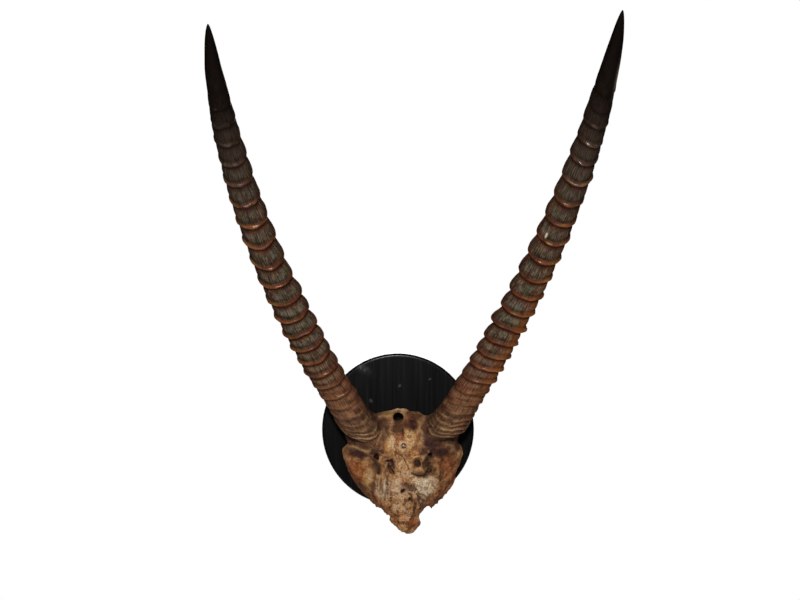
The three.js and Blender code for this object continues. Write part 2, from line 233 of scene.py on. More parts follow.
# by height, from 0 at the base to 1 at the tip: colours of the horn's hollows in front and at
# the side, and of its lips, how much it is greyed and tinted, and how it shines
hornTones = {
    "hollow": [(0.0, "#6e4940"), (0.05, "#8c6350"), (0.13, "#8a6249"), (0.26, "#665844"),
               (0.6, "#4b3e31"), (0.75, "#35281f"), (0.83, "#1a120d"), (1.0, "#0d0806")],
    "side": [(0.0, "#50332c"), (0.1, "#6c4832"), (0.26, "#543526"), (0.6, "#3c261b"),
             (0.74, "#2b1c14"), (0.82, "#180f0b"), (1.0, "#0d0806")],
    "lip": [(0.0, "#b48a5e"), (0.05, "#a67a50"), (0.13, "#965638"), (0.3, "#994c30"),
            (0.55, "#96502f"), (0.62, "#6e4636"), (0.68, "#573f36"), (0.75, "#3c2c26"),
            (0.82, "#1d1410"), (1.0, "#0f0806")],
    "outerLip": [(0.0, "#8f6c50"), (0.06, "#8c6040"), (0.13, "#9e6030"), (0.3, "#a35a20"),
                 (0.56, "#a2652c"), (0.64, "#6c4530"), (0.72, "#453028"), (0.82, "#1d1410"),
                 (1.0, "#0d0806")],
    "rust": [(0.0, "#5a2a1a"), (0.6, "#4a2415"), (0.8, "#1c110b")],
    "greyed": [(0.12, 0.0), (0.27, 0.5), (0.5, 0.45), (0.72, 0.0)],
    "tinted": [(0.1, 0.15), (0.25, 1.0), (0.6, 1.0), (0.8, 0.0)],
    "gloss": [(0.55, 1.0), (0.66, 1.6), (0.76, 1.6), (0.84, 0.8)],
    "gleam": [(0.55, "#ffe2c8"), (0.66, "#fff4ea")],  # warm out of brown horn, plain off black
}


def hornFinish():
    # horn keratin, worn and handled: greyish fibrous hollows, ring lips polished to a warm
    # brown, and a nearly black smooth tip
    finish, tree, shader = newFinish("ringed horn keratin")
    straight = node(tree, "Attribute", {}, 1, attribute_name="straight")  # mm, as if not bent
    layer = {name: node(tree, "Attribute", {}, 2, attribute_name=name) for name in (
        "height", "lip", "creaseShade", "cupStainAndShade", "rust", "fibre", "frontal", "outer", "worn", "sun")}
    tone = {name: node(tree, "ValToRGB", {"Fac": layer["height"]}, stops=stops)
            for name, stops in hornTones.items()}

    # clouds some 12 mm across, and olive and purple tints half as large
    clouds = node(tree, "TexNoise", {"Vector": straight, "Scale": 1 / 12, "Detail": 4.0})
    cloudy = node(tree, "ValToRGB", {"Fac": clouds}, stops=[(0.35, 0.0), (0.65, 1.0)])
    tints = node(tree, "TexNoise", {"Vector": straight, "Scale": 1 / 6, "Detail": 2.0}, 1)
    olive, purple = [
        node(tree, "ValToRGB", {"Fac": node(tree, "SeparateColor", {"Color": tints}, channel)},
             stops=[(0.48, 0.0), (0.64, 0.75)])
        for channel in (0, 2)]
    # fibres 1 to 3 mm apart that run along the horn, scratches between them, and dark specks
    drawn = node(tree, "VectorMath", {0: straight, 1: (1.0, 1.0, 0.12)}, operation="MULTIPLY")
    fibres, scratches, specks = [
        node(tree, "TexNoise", {"Vector": way, "Scale": scale, "Detail": 3.0, "Roughness": rough})
        for way, scale, rough in ((drawn, 0.9, 0.6), (drawn, 2.4, 0.5), (straight, 0.8, 0.6))]
    lined = node(tree, "ValToRGB", {"Fac": fibres}, stops=[(0.42, 0.6), (0.56, 1.22)])
    specked = node(tree, "ValToRGB", {"Fac": specks}, stops=[
        (0.36, 0.5), (0.48, 1.0), (0.64, 1.25)])

    # the hollows are warm in clouds, and paler and greyer in the middle of the front
    middle = node(tree, "ValToRGB", {"Fac": layer["frontal"]}, stops=[(0.5, 0.0), (1.0, 1.0)])
    hollows = overlaid(tree, tone["side"], [
        ("MIX", tone["hollow"], layer["frontal"]),
        ("MIX", tone["lip"], cloudy, 0.45),
        ("MIX", "#7f7e6e", middle, tone["greyed"]),
        ("MIX", "#45401f", olive, tone["tinted"]),
        ("MIX", "#4e2f2f", purple, tone["tinted"]),
        # dark band above each lip: partly stain, partly painted shade where the surface turns up to
        # the lip
        ("MIX", "#20150b", layer["cupStainAndShade"], 0.72),
        ("MIX", tone["rust"], layer["rust"], 0.7),
        ("MIX", "#12100d", layer["fibre"], 0.7),
        ("MULTIPLY", lined, 1.0),
    ])
    lips = overlaid(tree, tone["lip"], [
        ("MIX", tone["outerLip"], layer["outer"]),
        ("MIX", "#b3834a", olive, tone["tinted"], 0.8),
        ("MIX", "#843a2c", purple, tone["tinted"], 0.5),
    ])
    kept = node(tree, "ValToRGB", {"Fac": clouds}, stops=[(0.25, 0.7), (0.6, 1.0)])
    colour = overlaid(tree, hollows, [
        ("MIX", lips, layer["lip"], kept),
        ("MIX", "#b5611f", layer["sun"], 0.4),
        ("MULTIPLY", specked, 0.8),
        # painted shadow under the lips, in creases, between wrinkles and in cracks
        ("MIX", "#140b07", layer["creaseShade"], 0.62),
        ("MIX", "#d8c4aa", layer["worn"]),
    ])

    # only the rubbed lips are smooth and shine
    polish, shine, rubbed = [
        node(tree, "ValToRGB", {"Fac": layer["lip"]}, stops=stops)
        for stops in (
            [(0.0, 0.48), (0.7, 0.14)], [(0.35, 0.08), (0.85, 0.6)], [(0.2, 0.7), (0.8, 0.25)])]
    gloss = node(tree, "Math", {0: shine, 1: tone["gloss"]}, operation="MULTIPLY")
    relief = node(tree, "Math", {0: scratches, 1: 0.5, 2: fibres}, operation="MULTIPLY_ADD")
    setInputs(tree, shader, {
        "Base Color": colour,
        "Roughness": node(tree, "Math", {0: clouds, 1: 0.2, 2: polish}, operation="MULTIPLY_ADD"),
        "Specular IOR Level": gloss,
        "Specular Tint": tone["gleam"],
        "IOR": 1.54,
        "Normal": node(tree, "Bump", {"Height": relief, "Strength": rubbed, "Distance": 0.4 * mm}),
    })
    return finish


# colours of the bone's ground and of its patches, by the noise that mottles them
boneTones = {
    "ground": [(0.3, "#744428"), (0.43, "#a8703f"), (0.52, "#d09b64"), (0.7, "#eabb8a")],
    "amber": [(0.35, "#7c3c20"), (0.6, "#cc783e")],
    "gold": [(0.35, "#b67a34"), (0.6, "#edb866")],
    "pale": [(0.32, "#f0ac78"), (0.46, "#ffdbad"), (0.62, "#fff0d4")],
    "dusk": [(0.35, "#241110"), (0.7, "#5c2e26")],
}


def boneFinish():
    # old dry bone, unbleached: chalky tan with amber and dusky patches of dried tissue, dusky
    # painted shadow around the horns, dirt and painted shade in its pits and grooves, and
    # pale worn ridges that also carry painted highlight
    finish, tree, shader = newFinish("dry stained bone")
    place = node(tree, "TexCoord", {}, 3)
    layer = {name: node(tree, "Attribute", {}, 2, attribute_name=name) for name in (
        "amber", "gold", "pale", "dusk", "crust", "cavityDirtAndShade", "crestWearAndHighlight")}
    mottle, grain, contour = [
        node(tree, "TexNoise", {
            "Vector": place, "Scale": 1 / (size * mm), "Detail": detail, "Roughness": rough})
        for size, detail, rough in ((7, 7.0, 0.7), (1.7, 5.0, 0.65), (9, 4.0, 0.62))]
    tone = {name: node(tree, "ValToRGB", {"Fac": mottle}, stops=stops)
            for name, stops in boneTones.items()}
    flecks = node(tree, "ValToRGB", {"Fac": grain}, stops=[
        (0.32, "#6f4f3b"), (0.41, "#c8b2a2"), (0.48, "#ffffff")])
    # where a slow noise crosses its middle: cracks and dried fibres
    hairlines = node(tree, "ValToRGB", {"Fac": contour}, stops=[
        (0.44, "#ffffff"), (0.462, "#7c5540"), (0.475, "#ffffff"),
        (0.53, "#ffffff"), (0.545, "#7c5540"), (0.567, "#ffffff")])
    colour = overlaid(tree, tone["ground"], [
        # the dusky layer also carries the painted shadow around the horns
        *[("MIX", tone[name], layer[name]) for name in ("amber", "gold", "pale", "dusk")],
        # pale on raised ridges: partly worn bone, partly painted highlight
        ("MIX", "#dcae78", layer["crestWearAndHighlight"]),
        ("MULTIPLY", flecks, 0.8),
        ("MULTIPLY", hairlines, 0.65),
        ("MIX", "#63391f", layer["crust"], 0.85),
        # dark in pits and grooves: partly dirt, partly painted shade, darker in deeper pits
        ("MIX", "#2c140c", layer["cavityDirtAndShade"]),
    ])
    relief = node(tree, "Math", {0: grain, 1: 2 / 3, 2: mottle}, operation="MULTIPLY_ADD")
    setInputs(tree, shader, {
        "Base Color": colour,
        "Roughness": node(tree, "ValToRGB", {"Fac": mottle}, stops=[(0.3, 0.55), (0.7, 0.8)]),
        "Specular IOR Level": 0.28,  # chalky and porous
        "Normal": node(tree, "Bump", {"Height": relief, "Strength": 1.0, "Distance": 0.84 * mm}),
    })
    return finish


def ebonisedFinish():
    # hardwood stained black and waxed: the pores still show as faint upright lines
    finish, tree, shader = newFinish("ebonised wood")
    place = node(tree, "TexCoord", {}, 3)
    along = node(tree, "VectorMath", {0: place, 1: (1.0, 1.0, 0.035)}, operation="MULTIPLY")
    figure, pores = [
        node(tree, "TexNoise", {
            "Vector": along, "Scale": 1 / (size * mm), "Detail": detail, "Roughness": rough})
        for size, detail, rough in ((3.5, 5.0, 0.6), (0.9, 2.0, 0.5))]
    scuff = node(tree, "Attribute", {}, 2, attribute_name="scuff")
    stain = node(tree, "ValToRGB", {"Fac": figure}, stops=[
        (0.3, "#0b0a0a"), (0.6, "#0f0e0e"), (0.78, "#171616")])
    relief = node(tree, "Math", {0: pores, 1: 0.6, 2: figure}, operation="MULTIPLY_ADD")
    setInputs(tree, shader, {
        "Base Color": overlaid(tree, stain, [("MIX", "#8a8886", scuff)]),
        "Roughness": node(tree, "ValToRGB", {"Fac": figure}, stops=[(0.3, 0.18), (0.7, 0.24)]),
        "Specular IOR Level": 0.14,  # the stain drinks up much of the light
        "Normal": node(tree, "Bump", {"Height": relief, "Strength": 0.13, "Distance": 0.2 * mm}),
    })
    return finish


def steelFinish(name, bright, dull, roughness):
    # plated steel gone dull: a metal with darker clouds 3 mm across
    finish, tree, shader = newFinish(name)
    place = node(tree, "TexCoord", {}, 3)
    clouds = node(tree, "TexNoise", {"Vector": place, "Scale": 1 / (3 * mm), "Detail": 5.0})
    setInputs(tree, shader, {
        "Base Color": node(tree, "ValToRGB", {"Fac": clouds}, stops=[(0.35, dull), (0.65, bright)]),
        "Metallic": 1.0,
        "Roughness": node(tree, "ValToRGB", {"Fac": clouds}, stops=[
            (0.3, roughness + 0.2), (0.7, roughness)]),
        "Normal": node(tree, "Bump", {"Height": clouds, "Strength": 0.2, "Distance": 0.1 * mm}),
    })
    return finish


finishes = {
    "horn": hornFinish(),
    "bone": boneFinish(),
    "wood": ebonisedFinish(),
    "screw": steelFinish("tarnished steel", "#b39c84", "#5e4636", 0.3),
    "plate": steelFinish("zinc-plated steel", "#b9bab8", "#83827f", 0.35),
}
print("finishes made")


horn = {
    "left": [(-43, -52, 5), (-136, -66, 134), (-202, -131, 315), (-206, -219, 453)],  # axis, mm
    "right": [(55, -52, 5), (154, -66, 148), (223.5, -131, 316), (244, -219, 468)],
    "radius": 19.35, "taperPower": 3.4, "tipPower": 0.62, "flare": 4.2, "flareLength": 11.0,
    "waist": 0.8, "waistEnd": (30, 110),  # mm that the stem is slimmer, and where that ends
    "slim": 0.65, "slimHeight": 250, "slimSpread": 85,  # the same along the middle
    "depthAtBase": 1.12,
    "topRing": {"left": 424.0, "right": 446.2},
    "pitchHeights": (5, 14, 24, 34, 52, 75, 105, 150, 208, 348, 448),
    "pitches": (3.5, 4.4, 6.5, 10, 14.2, 16.6, 16.8, 19.9, 24.1, 25.3, 19),
    "outerTeeth": {"left": 0.3, "right": 1.4},  # more height of the lowest rings at the outer side
    "reliefHeights": (0, 55, 80, 125, 145, 170, 210, 250, 315, 340, 365, 385, 430, 450),
    "relief": (0.9, 0.6, 1.0, 1.7, 2.3, 1.8, 1.45, 1.4, 1.0, 1.2, 0.95, 0.5, 0.3, 0.2),  # half, mm
    # how far a ring is lower at the front, higher at the outer side and moved as a whole, in mm
    # at these heights
    "slopeHeights": (0, 14, 45, 80, 110, 150, 190, 225, 270, 340, 400),
    "frontDip": {"left": (20, 16, 9.5, 8.4, 7.3, 8, 9.4, 11.6, 9.4, 8.4, 6.2),
                 "right": (16, 9.5, 6, 3.8, 2.6, 3.4, 5, 7.6, 8.8, 8.2, 6)},
    "sideLift": {"left": (12, 9, 3.5, 1.8, 1.2, 0.8, 3.2, 2.2, 0.3, 0, 0),
                 "right": (8, 7.5, 7.5, 5.6, 3.8, 2.6, 2.4, 1.6, 0.9, -0.3, -1.7)},
    "ringShift": {"left": (0, 0, 0.5, -1, -1.6, -2.2, -2.5, -1.7, -0.3, 0.8, 0),
                  "right": (0, 0, 0, -1.2, -1.6, -1.2, -1.2, -0.8, 0, 0.5, 0)},
    "tipFade": (10, 80),
    "around": 190, "rowsPerRing": 19, "rowsPerCrowdedRing": 10, "crowded": 9.0,  # mm between rings
    "tipRows": 42, "tipWorn": 0.5,
    "stepShare": 0.26,  # share of a ring taken by the step in below its lip
    "lipWidth": 1.5,  # mm, spread of a lip's ridge
    "fibres": 42, "fibreDepth": 0.2,  # ridges once around, and their height in mm
    "wobble": (2.4, 1.25),  # mm that a lip wanders up and down, at the base and above
    "marginRound": 7.0,  # mm at the base over which the horn draws in to its seat
    "rubbing": (0.66, 1.14),  # how brightly a ring's lip is rubbed, at least and at most
    "seed": {"left": 11, "right": 23},
    # on the right horn: a chip, a rubbed edge near the tip and a sunned stretch of the outer side
    "chip": (-0.45, 270.0), "chipSize": (1.5, 2.4, 3.4),  # turn in radians, height and size in mm
    "worn": (20.0, 3.0, 463.0), "wornSize": (3, 8, 11),
    "sunned": (130.0, 65.0),  # height and spread, mm
    "patternRadius": 20,  # mm, of the straightened horn that carries the patterns
    "axisPoints": 3000,
    "cutAround": 96, "cutRows": 3,  # the shape that cuts a horn's seat has every third row
}


def ringHeights(side):
    # from the highest ring down, each one lower by the pitch at its own height
    heights = [horn["topRing"][side]]
    while heights[-1] > 1:
        heights.append(heights[-1] - np.interp(heights[-1], horn["pitchHeights"], horn["pitches"]))
    return np.array(heights[-2::-1])


def hornAxis(side):
    # cubic curve from its four control points, with its length so far and its direction
    a, b, c, d = np.array(horn[side], float)
    t = np.linspace(0, 1, horn["axisPoints"])[:, None]
    u = 1 - t
    line = u ** 3 * a + 3 * u ** 2 * t * b + 3 * u * t ** 2 * c + t ** 3 * d
    steps = np.linalg.norm(np.diff(line, axis=0), axis=1)
    along = np.gradient(line, axis=0)
    along /= np.linalg.norm(along, axis=1)[:, None]
    return line, np.concatenate([[0], np.cumsum(steps)]), along


def lipsAndRows(side, length):
    # heights of the lips from the base to above the top ring, and of the mesh's rows
    lips = ringHeights(side)
    lips = np.concatenate([[-4.0], lips, lips[-1] + np.array([20.0, 42.0])])
    rows = [np.array([0.0])]
    for low, high in zip(lips[:-3], lips[1:-2]):
        count = horn["rowsPerRing" if high - low > horn["crowded"] else "rowsPerCrowdedRing"]
        rows.append(np.linspace(low, high, count, endpoint=False))
    fromTip = (length - lips[-3]) * (1 - np.linspace(0, 1, horn["tipRows"])) ** 1.7
    rows.append(length - np.maximum(fromTip, horn["tipWorn"]))
    rows = np.concatenate(rows)
    return lips, np.unique(rows[rows >= 0])


def ringSection(below, pitch, inner):
    # height over one ring, from its lip down. In front it is a hollow between two round ridges:
    # a bell on each lip over a floor that falls quickly, swells and is cupped above the next
    # lip. On the side towards the other horn it swells early, as a quarter of a sine.
    ridge = bell(np.minimum(below, 1 - below) * pitch, np.minimum(horn["lipWidth"], 0.2 * pitch))
    floor = -0.15 - 0.85 * ease(0, 0.2, below) + 0.85 * ease(0.15, 0.62, below)
    floor = floor - 0.3 * ease(0.66, 0.85, below)
    hollow = floor + (1 - floor) * ridge
    share = horn["stepShare"]
    step = np.cos(np.pi * np.clip(below / share, 0, 1))
    swell = -1 + 2 * np.sin(0.5 * np.pi * np.clip((below - share) / (1 - share), 0, 1)) ** 1.1
    bulge = np.where(below < share, step, swell)
    return hollow + (bulge - hollow) * inner


def straightPlace(across, forward, height):
    # places on the horn as if it were straight, in mm, so that patterns have no seam
    radius = horn["patternRadius"]
    places = np.broadcast_arrays(radius * across, radius * forward, height + 0 * across)
    return np.stack(places, axis=-1)


def hornPlaces(side, plain):
    # for each row of the mesh and each turn around the axis: its place on the straightened
    # horn, how far round it lies, and where it lies in its ring, whose lip wanders up and down
    on = SimpleNamespace(side=side, seed=horn["seed"][side])
    on.line, on.lengths, on.along = hornAxis(side)
    on.length = on.lengths[-1]
    on.lips, on.rows = lipsAndRows(side, on.length)
    around = horn["cutAround"] if plain else horn["around"]
    on.turn = np.linspace(0, 2 * np.pi, around, endpoint=False) + np.pi
    if plain:
        on.rows = on.rows[::horn["cutRows"]]
    on.height = on.rows[:, None]
    on.across, on.forward = np.sin(on.turn)[None], np.cos(on.turn)[None]
    on.outer = (-1 if side == "left" else 1) * on.across  # 1 on the side away from the other horn
    on.straight = straightPlace(on.across, on.forward, on.height)
    low = ease(75, 30, on.height)
    wander = softNoise(on.straight * (1, 1, 0.9), 19, on.seed)
    wander += 0.5 * softNoise(on.straight, 7, on.seed + 1)
    wander = wander + 0.4 * softNoise(on.straight, 4.5, on.seed + 12) * low
    atBase, above = horn["wobble"]
    wobbled = on.height + (above + (atBase - above) * low) * wander
    on.ring = np.interp(wobbled, on.lips, np.arange(len(on.lips)))
    on.below = 1 - (on.ring - np.floor(on.ring))
    on.pitch = np.interp(wobbled, (on.lips[1:] + on.lips[:-1]) / 2, np.diff(on.lips))
    strengths = np.interp(on.lips, horn["reliefHeights"], horn["relief"])
    strengths *= 1 + 0.16 * np.random.default_rng(on.seed).uniform(-1, 1, len(on.lips))
    strengths[-2:] = 0
    on.strength = np.interp(wobbled, on.lips, strengths)
    on.inner = ease(0.25, 0.9, -on.outer)
    on.ringed = 1 - ease(on.lips[-3] - 5, on.lips[-3] + 25, on.height)  # 0 on the smooth tip
    on.hollow = ease(0.16, 0.4, on.below) * (1 - ease(0.84, 0.97, on.below))
    # fibres: even ridges along the horn in the hollows, bent and broken by noise that
    # changes from ring to ring
    drawn = on.straight * (1, 1, 0.1) + np.floor(on.ring)[..., None] * (0, 0, 37.0)
    bend = softNoise(drawn, 5, on.seed + 2)
    even = np.cos(horn["fibres"] * on.turn[None] + 3.2 * bend + 2.1 * np.floor(on.ring))
    on.fibre = 0.62 * even + 0.55 * softNoise(drawn, 1.6, on.seed + 3)
    # fine wrinkles that follow the rings, some 2 mm apart
    wrinkle = softNoise(on.straight * (0.22, 0.22, 1), 1.9, on.seed + 10)
    on.wrinkle = wrinkle * ease(95, 30, on.height)
    return on


def hornSkin(on, grow):
    # distance from the axis: the taper, the rings' relief and the roughness added up
    height, straight, seed = on.height, on.straight, on.seed
    fromTip = np.clip((on.length - height) / on.length, 0, 1)
    radius = horn["radius"] * (1 - (1 - fromTip) ** horn["taperPower"]) ** horn["tipPower"]
    radius = radius + horn["flare"] * np.exp(-height / horn["flareLength"])
    radius = radius - horn["waist"] * (1 - ease(*horn["waistEnd"], height))
    radius = radius - horn["slim"] * bell(height - horn["slimHeight"], horn["slimSpread"])
    # the rings stand out more at the inner side halfway up, at the outer side low down and in
    # front near the top
    sided = 1 + 0.2 * np.clip(on.outer, 0, 1) + 0.6 * on.inner * bell(height - 230, 95)
    sided = sided - 0.15 * np.clip(-on.forward, 0, 1)
    sided = sided + horn["outerTeeth"][on.side] * ease(0.3, 1, on.outer) * bell(height - 62, 30)
    sided = sided + 0.6 * np.clip(on.forward, 0, 1) * bell(height - 380, 35)
    uneven = 1 + softNoise(straight, 9, seed + 7) * (0.32 + 0.3 * ease(80, 35, height))
    relief = on.strength * sided * uneven * ringSection(on.below, on.pitch, on.inner)
    lumps = 0.45 * softNoise(straight, 22, seed + 5) * ease(0, 60, on.length - height)
    skin = radius + relief + lumps
    if not grow:
        fibreDepth = horn["fibreDepth"] * on.hollow * on.ringed * ease(0, 12, on.pitch - 3)
        dents = 0.4 * softNoise(straight, 6.5, seed + 14) * on.ringed * ease(15, 45, height)
        rough = 0.6 * roughNoise(straight * (1, 1, 1.6), 5, seed + 6, 3)
        skin = skin + fibreDepth * on.fibre + dents + rough * (1 - ease(20, 75, height))
        skin = skin + 0.35 * on.wrinkle
    skin = np.maximum(skin, 0.05) + grow
    return skin * (1 - 0.3 * np.clip(1 - height / horn["marginRound"], 0, 1) ** 2)


def hornMesh(side, grow=0.0):
    # the skin around the bent axis, each ring slid down in front and up at its outer side; one
    # that is made larger is plain and unpainted, and cuts the horn's seat
    on = hornPlaces(side, grow > 0)
    skin = hornSkin(on, grow)
    dip, lift, shift = [np.interp(on.height, horn["slopeHeights"], horn[name][side])
                        for name in ("frontDip", "sideLift", "ringShift")]
    slide = shift * ease(0, 40, on.height) + lift * on.outer - dip * on.forward
    slide = slide * ease(*horn["tipFade"], on.length - on.height)
    depth = horn["depthAtBase"] + (1 - horn["depthAtBase"]) * on.height / on.length

    middle, way = [np.stack([np.interp(on.rows, on.lengths, line[:, i]) for i in range(3)], axis=-1)
                   for line in (on.line, on.along)]
    front = np.array([0, -1, 0]) - way * (way @ np.array([0, -1, 0]))[:, None]
    front /= np.linalg.norm(front, axis=1)[:, None]
    right = np.cross(way, front)
    grid = (middle[:, None] + way[:, None] * slide[..., None]
            + right[:, None] * (skin * on.across)[..., None]
            + front[:, None] * (skin * depth * on.forward)[..., None])
    if grow:
        grid[0] -= way[0] * grow
    tip = on.line[-1] + on.along[-1] * (grow - 0.7 * horn["tipWorn"])
    mesh = ringedMesh("horn_" + side, grid, grid[0].mean(axis=0), tip)
    if not grow:
        paintHorn(mesh, on)
    return mesh


def paintHorn(mesh, on):
    # what the finish needs, from 0 to 1: lips, some rubbed brighter than others and each in
    # patches, the painted shadow under them, a dark band above them that is partly stain and
    # partly painted shade, painted highlight on the crests of the fine wrinkles, and where the
    # wear, rust and sun are
    height, outer, straight = on.height, on.outer, on.straight
    tones = np.random.default_rng(on.seed + 20).uniform(*horn["rubbing"], len(on.lips))
    patchy = 0.76 + 0.8 * softNoise(straight, 9, on.seed + 8)
    patchy = tones[np.rint(on.ring).astype(int)] * patchy
    under, over = on.below * on.pitch, (1 - on.below) * on.pitch  # mm below a lip, above the next
    crowd = ease(5, 12, on.pitch)
    low = ease(90, 45, height)
    lip = np.maximum(bell(under, 0.7 + 0.3 * crowd), bell(over, 0.8 + 0.6 * crowd))
    lip = lip * (1 - 0.72 * ease(-0.2, 0.8, -outer)) * (1 - 0.45 * low * crowd)
    # the crests of the fine wrinkles near the base take the lips' paler colour: painted highlight,
    # matching the painted shadow between them
    lip = lip * ease(0.02, 0.45, on.strength) * patchy + 0.4 * ease(0.1, 0.7, on.wrinkle)
    # painted shadow under the lips, in the crowded creases, between wrinkles and in cracks of the
    # base
    undercut = ease(0.9, 2.2, under) * (1 - ease(2.6, 6.5, under - 1.5 * ease(0.1, 0.9, outer)))
    creaseShade = undercut * crowd * (1 - 0.5 * low) + 0.95 * (1 - crowd) * bell(on.below - 0.5, 0.2)
    cracks = softNoise(straight * (0.3, 0.3, 1), 3.2, on.seed + 13)
    creaseShade = creaseShade + 0.9 * ease(0.35, 0.7, cracks) * ease(110, 30, height)
    creaseShade = creaseShade + 0.5 * ease(-0.1, -0.6, on.wrinkle)
    # the dark band above each lip: partly stain, partly painted shade in the hollow below the ridge
    cupStainAndShade = bell(over - 4.6, 1.7) * (1 - 0.7 * on.inner) * crowd * (1 - 0.8 * low)
    cupStainAndShade = cupStainAndShade * ease(0.2, 0.9, on.strength) * (0.85 + 0.4 * softNoise(straight, 7, on.seed + 9))
    worn, sun = 0 * cupStainAndShade, 0 * cupStainAndShade
    if on.side == "right":
        turn, chipHeight = horn["chip"]
        chip = straightPlace(np.sin(turn), np.cos(turn), chipHeight)
        worn = ease(1.15, 0.75, np.linalg.norm((straight - chip) / horn["chipSize"], axis=-1))
        away = np.linalg.norm((straight - horn["worn"]) / horn["wornSize"], axis=-1)
        worn = worn + 0.6 * bell(away, 1.0)
        sun = ease(0.1, 0.9, outer) * bell(height - horn["sunned"][0], horn["sunned"][1])
    layers = {
        "height": height / on.length,
        "lip": lip * on.ringed,
        "creaseShade": creaseShade * on.ringed,
        "cupStainAndShade": cupStainAndShade,
        "outer": ease(0.15, 0.85, outer),
        "rust": bell(over - 1.5, 2.2) * ease(-0.1, 0.5, -outer) * crowd * on.ringed,
        "fibre": ease(0.1, -0.9, on.fibre) * on.hollow * on.ringed,
        "frontal": ease(-0.1, 0.85, on.forward) * on.hollow,
        "worn": worn,
        "sun": sun,
    }
    for name, values in layers.items():
        spread = np.clip(values + 0 * cupStainAndShade, 0, 1).ravel()
        paint(mesh, name, np.append(spread, (0, 1 if name == "height" else 0)))
    ends = [[0, 0, 0], [0, 0, on.length]]
    paint(mesh, "straight", np.append(straight.reshape(-1, 3), ends, axis=0))


for side in ("left", "right"):
    mesh = hornMesh(side)
    addPiece("ringed_horn_" + side, mesh, finishes["horn"], "horn_" + side)


board = {
    "radius": 90.0, "thickness": 18.0, "frontRound": 3.0, "backEase": 0.8,  # mm
    "sides": 256, "arcPoints": 25, "pegSides": 64,
    "plateZ": 60.0, "plateSize": (16.0, 36.0), "plateCorner": 3.0,
    "plateInset": 0.2, "plateThickness": 2.0,
    "entry": (4.25, -5.0), "slot": (2.3, 6.0),  # radius, and height above the plate's middle, mm
    "pocket": (6.0, 9.5),  # radius and depth
    "gap": 0.3,  # mm around what is let in
    "reach": 2.0,  # mm that a cutter starts behind the board
    "rub": (-41, 72),  # a pale rub by the left horn
    "specks": [(-32, 34, 0.9), (2, 52, 0.8), (38, 60, 0.6)],  # x, z and size, mm
}


def flatOutline(shape):
    # closed outline from arcs: each is (centre x, centre z, radius, first and last angle in turns)
    parts = []
    for cx, cz, radius, start, end in shape:
        turn = 2 * np.pi * np.linspace(start, end, board["arcPoints"])
        parts.append(np.stack([cx + radius * np.cos(turn), cz + radius * np.sin(turn)], axis=-1))
    return np.concatenate(parts)


def slab(name, outline, near, far):
    # the outline at two distances in front of the wall, closed by fans from its middle
    middle = outline.mean(axis=0)
    rows = [np.insert(outline, 1, -distance, axis=1) for distance in (near, far)]
    poles = [(middle[0], -distance, middle[1]) for distance in (near, far)]
    return ringedMesh(name, np.array(rows), *poles)


def plateOutline(grow=0.0):
    # a quarter turn at each corner
    corner, z = board["plateCorner"] + grow, board["plateZ"]
    inX, inZ = [size / 2 + grow - corner for size in board["plateSize"]]
    corners = [(inX, inZ), (-inX, inZ), (-inX, -inZ), (inX, -inZ)]
    return flatOutline([
        (cx, z + cz, corner, i / 4, (i + 1) / 4) for i, (cx, cz) in enumerate(corners)])


def roundPeg(name, radius, near, far, x, z):
    # a round bar that faces the room, to cut with
    profile = [(0, near), (radius, near), (radius, far), (0, far)]
    return turned(name, profile, (x, 0, z), board["pegSides"])


def upright(name, radius, near, far, low, high):
    # an upright slot with round ends
    z = board["plateZ"]
    ends = [(0, z + high, radius, 0.0, 0.5), (0, z + low, radius, 0.5, 1.0)]
    return slab(name, flatOutline(ends), near, far)


screw = {  # mm; places are x and z
    "plate": {"head": 3.0, "shank": 1.5, "headDepth": 1.6, "length": 13.0, "pitch": 1.2},
    "skull": {"head": 4.5, "shank": 2.2, "headDepth": 3.2, "length": 44.0, "pitch": 1.9},
    "brow": {"head": 3.0, "dome": 1.9, "shank": 1.6, "length": 58.0, "pitch": 1.5},
    "plateAt": {"upper": (0.0, 73.5), "lower": (0.0, 46.5)},
    "skullAt": {"left": (-20.0, -30.0), "right": (28.0, -30.0)},
    "browAt": (6.6, -16.0),
    "browSunk": 1.2, "browSeat": (3.4, 4.4), "browSeatDepth": 6.0,  # radii at its two ends
    "browHole": (8.0, 25.0),  # distances from the wall, where the hole in the board runs
    "skullInset": 0.4, "plateInset": 0.2,
    "sides": 48, "slotWidth": 0.9,
}


def screwHoles(kind):
    # holes for the plate's or the skull's screws: the screw's outline made larger by the gap,
    # from outside the back
    size, grow, inset, start = screw[kind], board["gap"], screw[kind + "Inset"], -board["reach"]
    head, shank, end = size["head"] + grow, size["shank"] + grow, inset + size["length"] + grow
    profile = [(0, start), (head, start), (head, inset + grow),
               (shank, inset + size["headDepth"]), (shank, end), (0, end)]
    places = screw[kind + "At"].values()
    return [turned("hole", profile, (x, 0, z), screw["sides"]) for x, z in places]


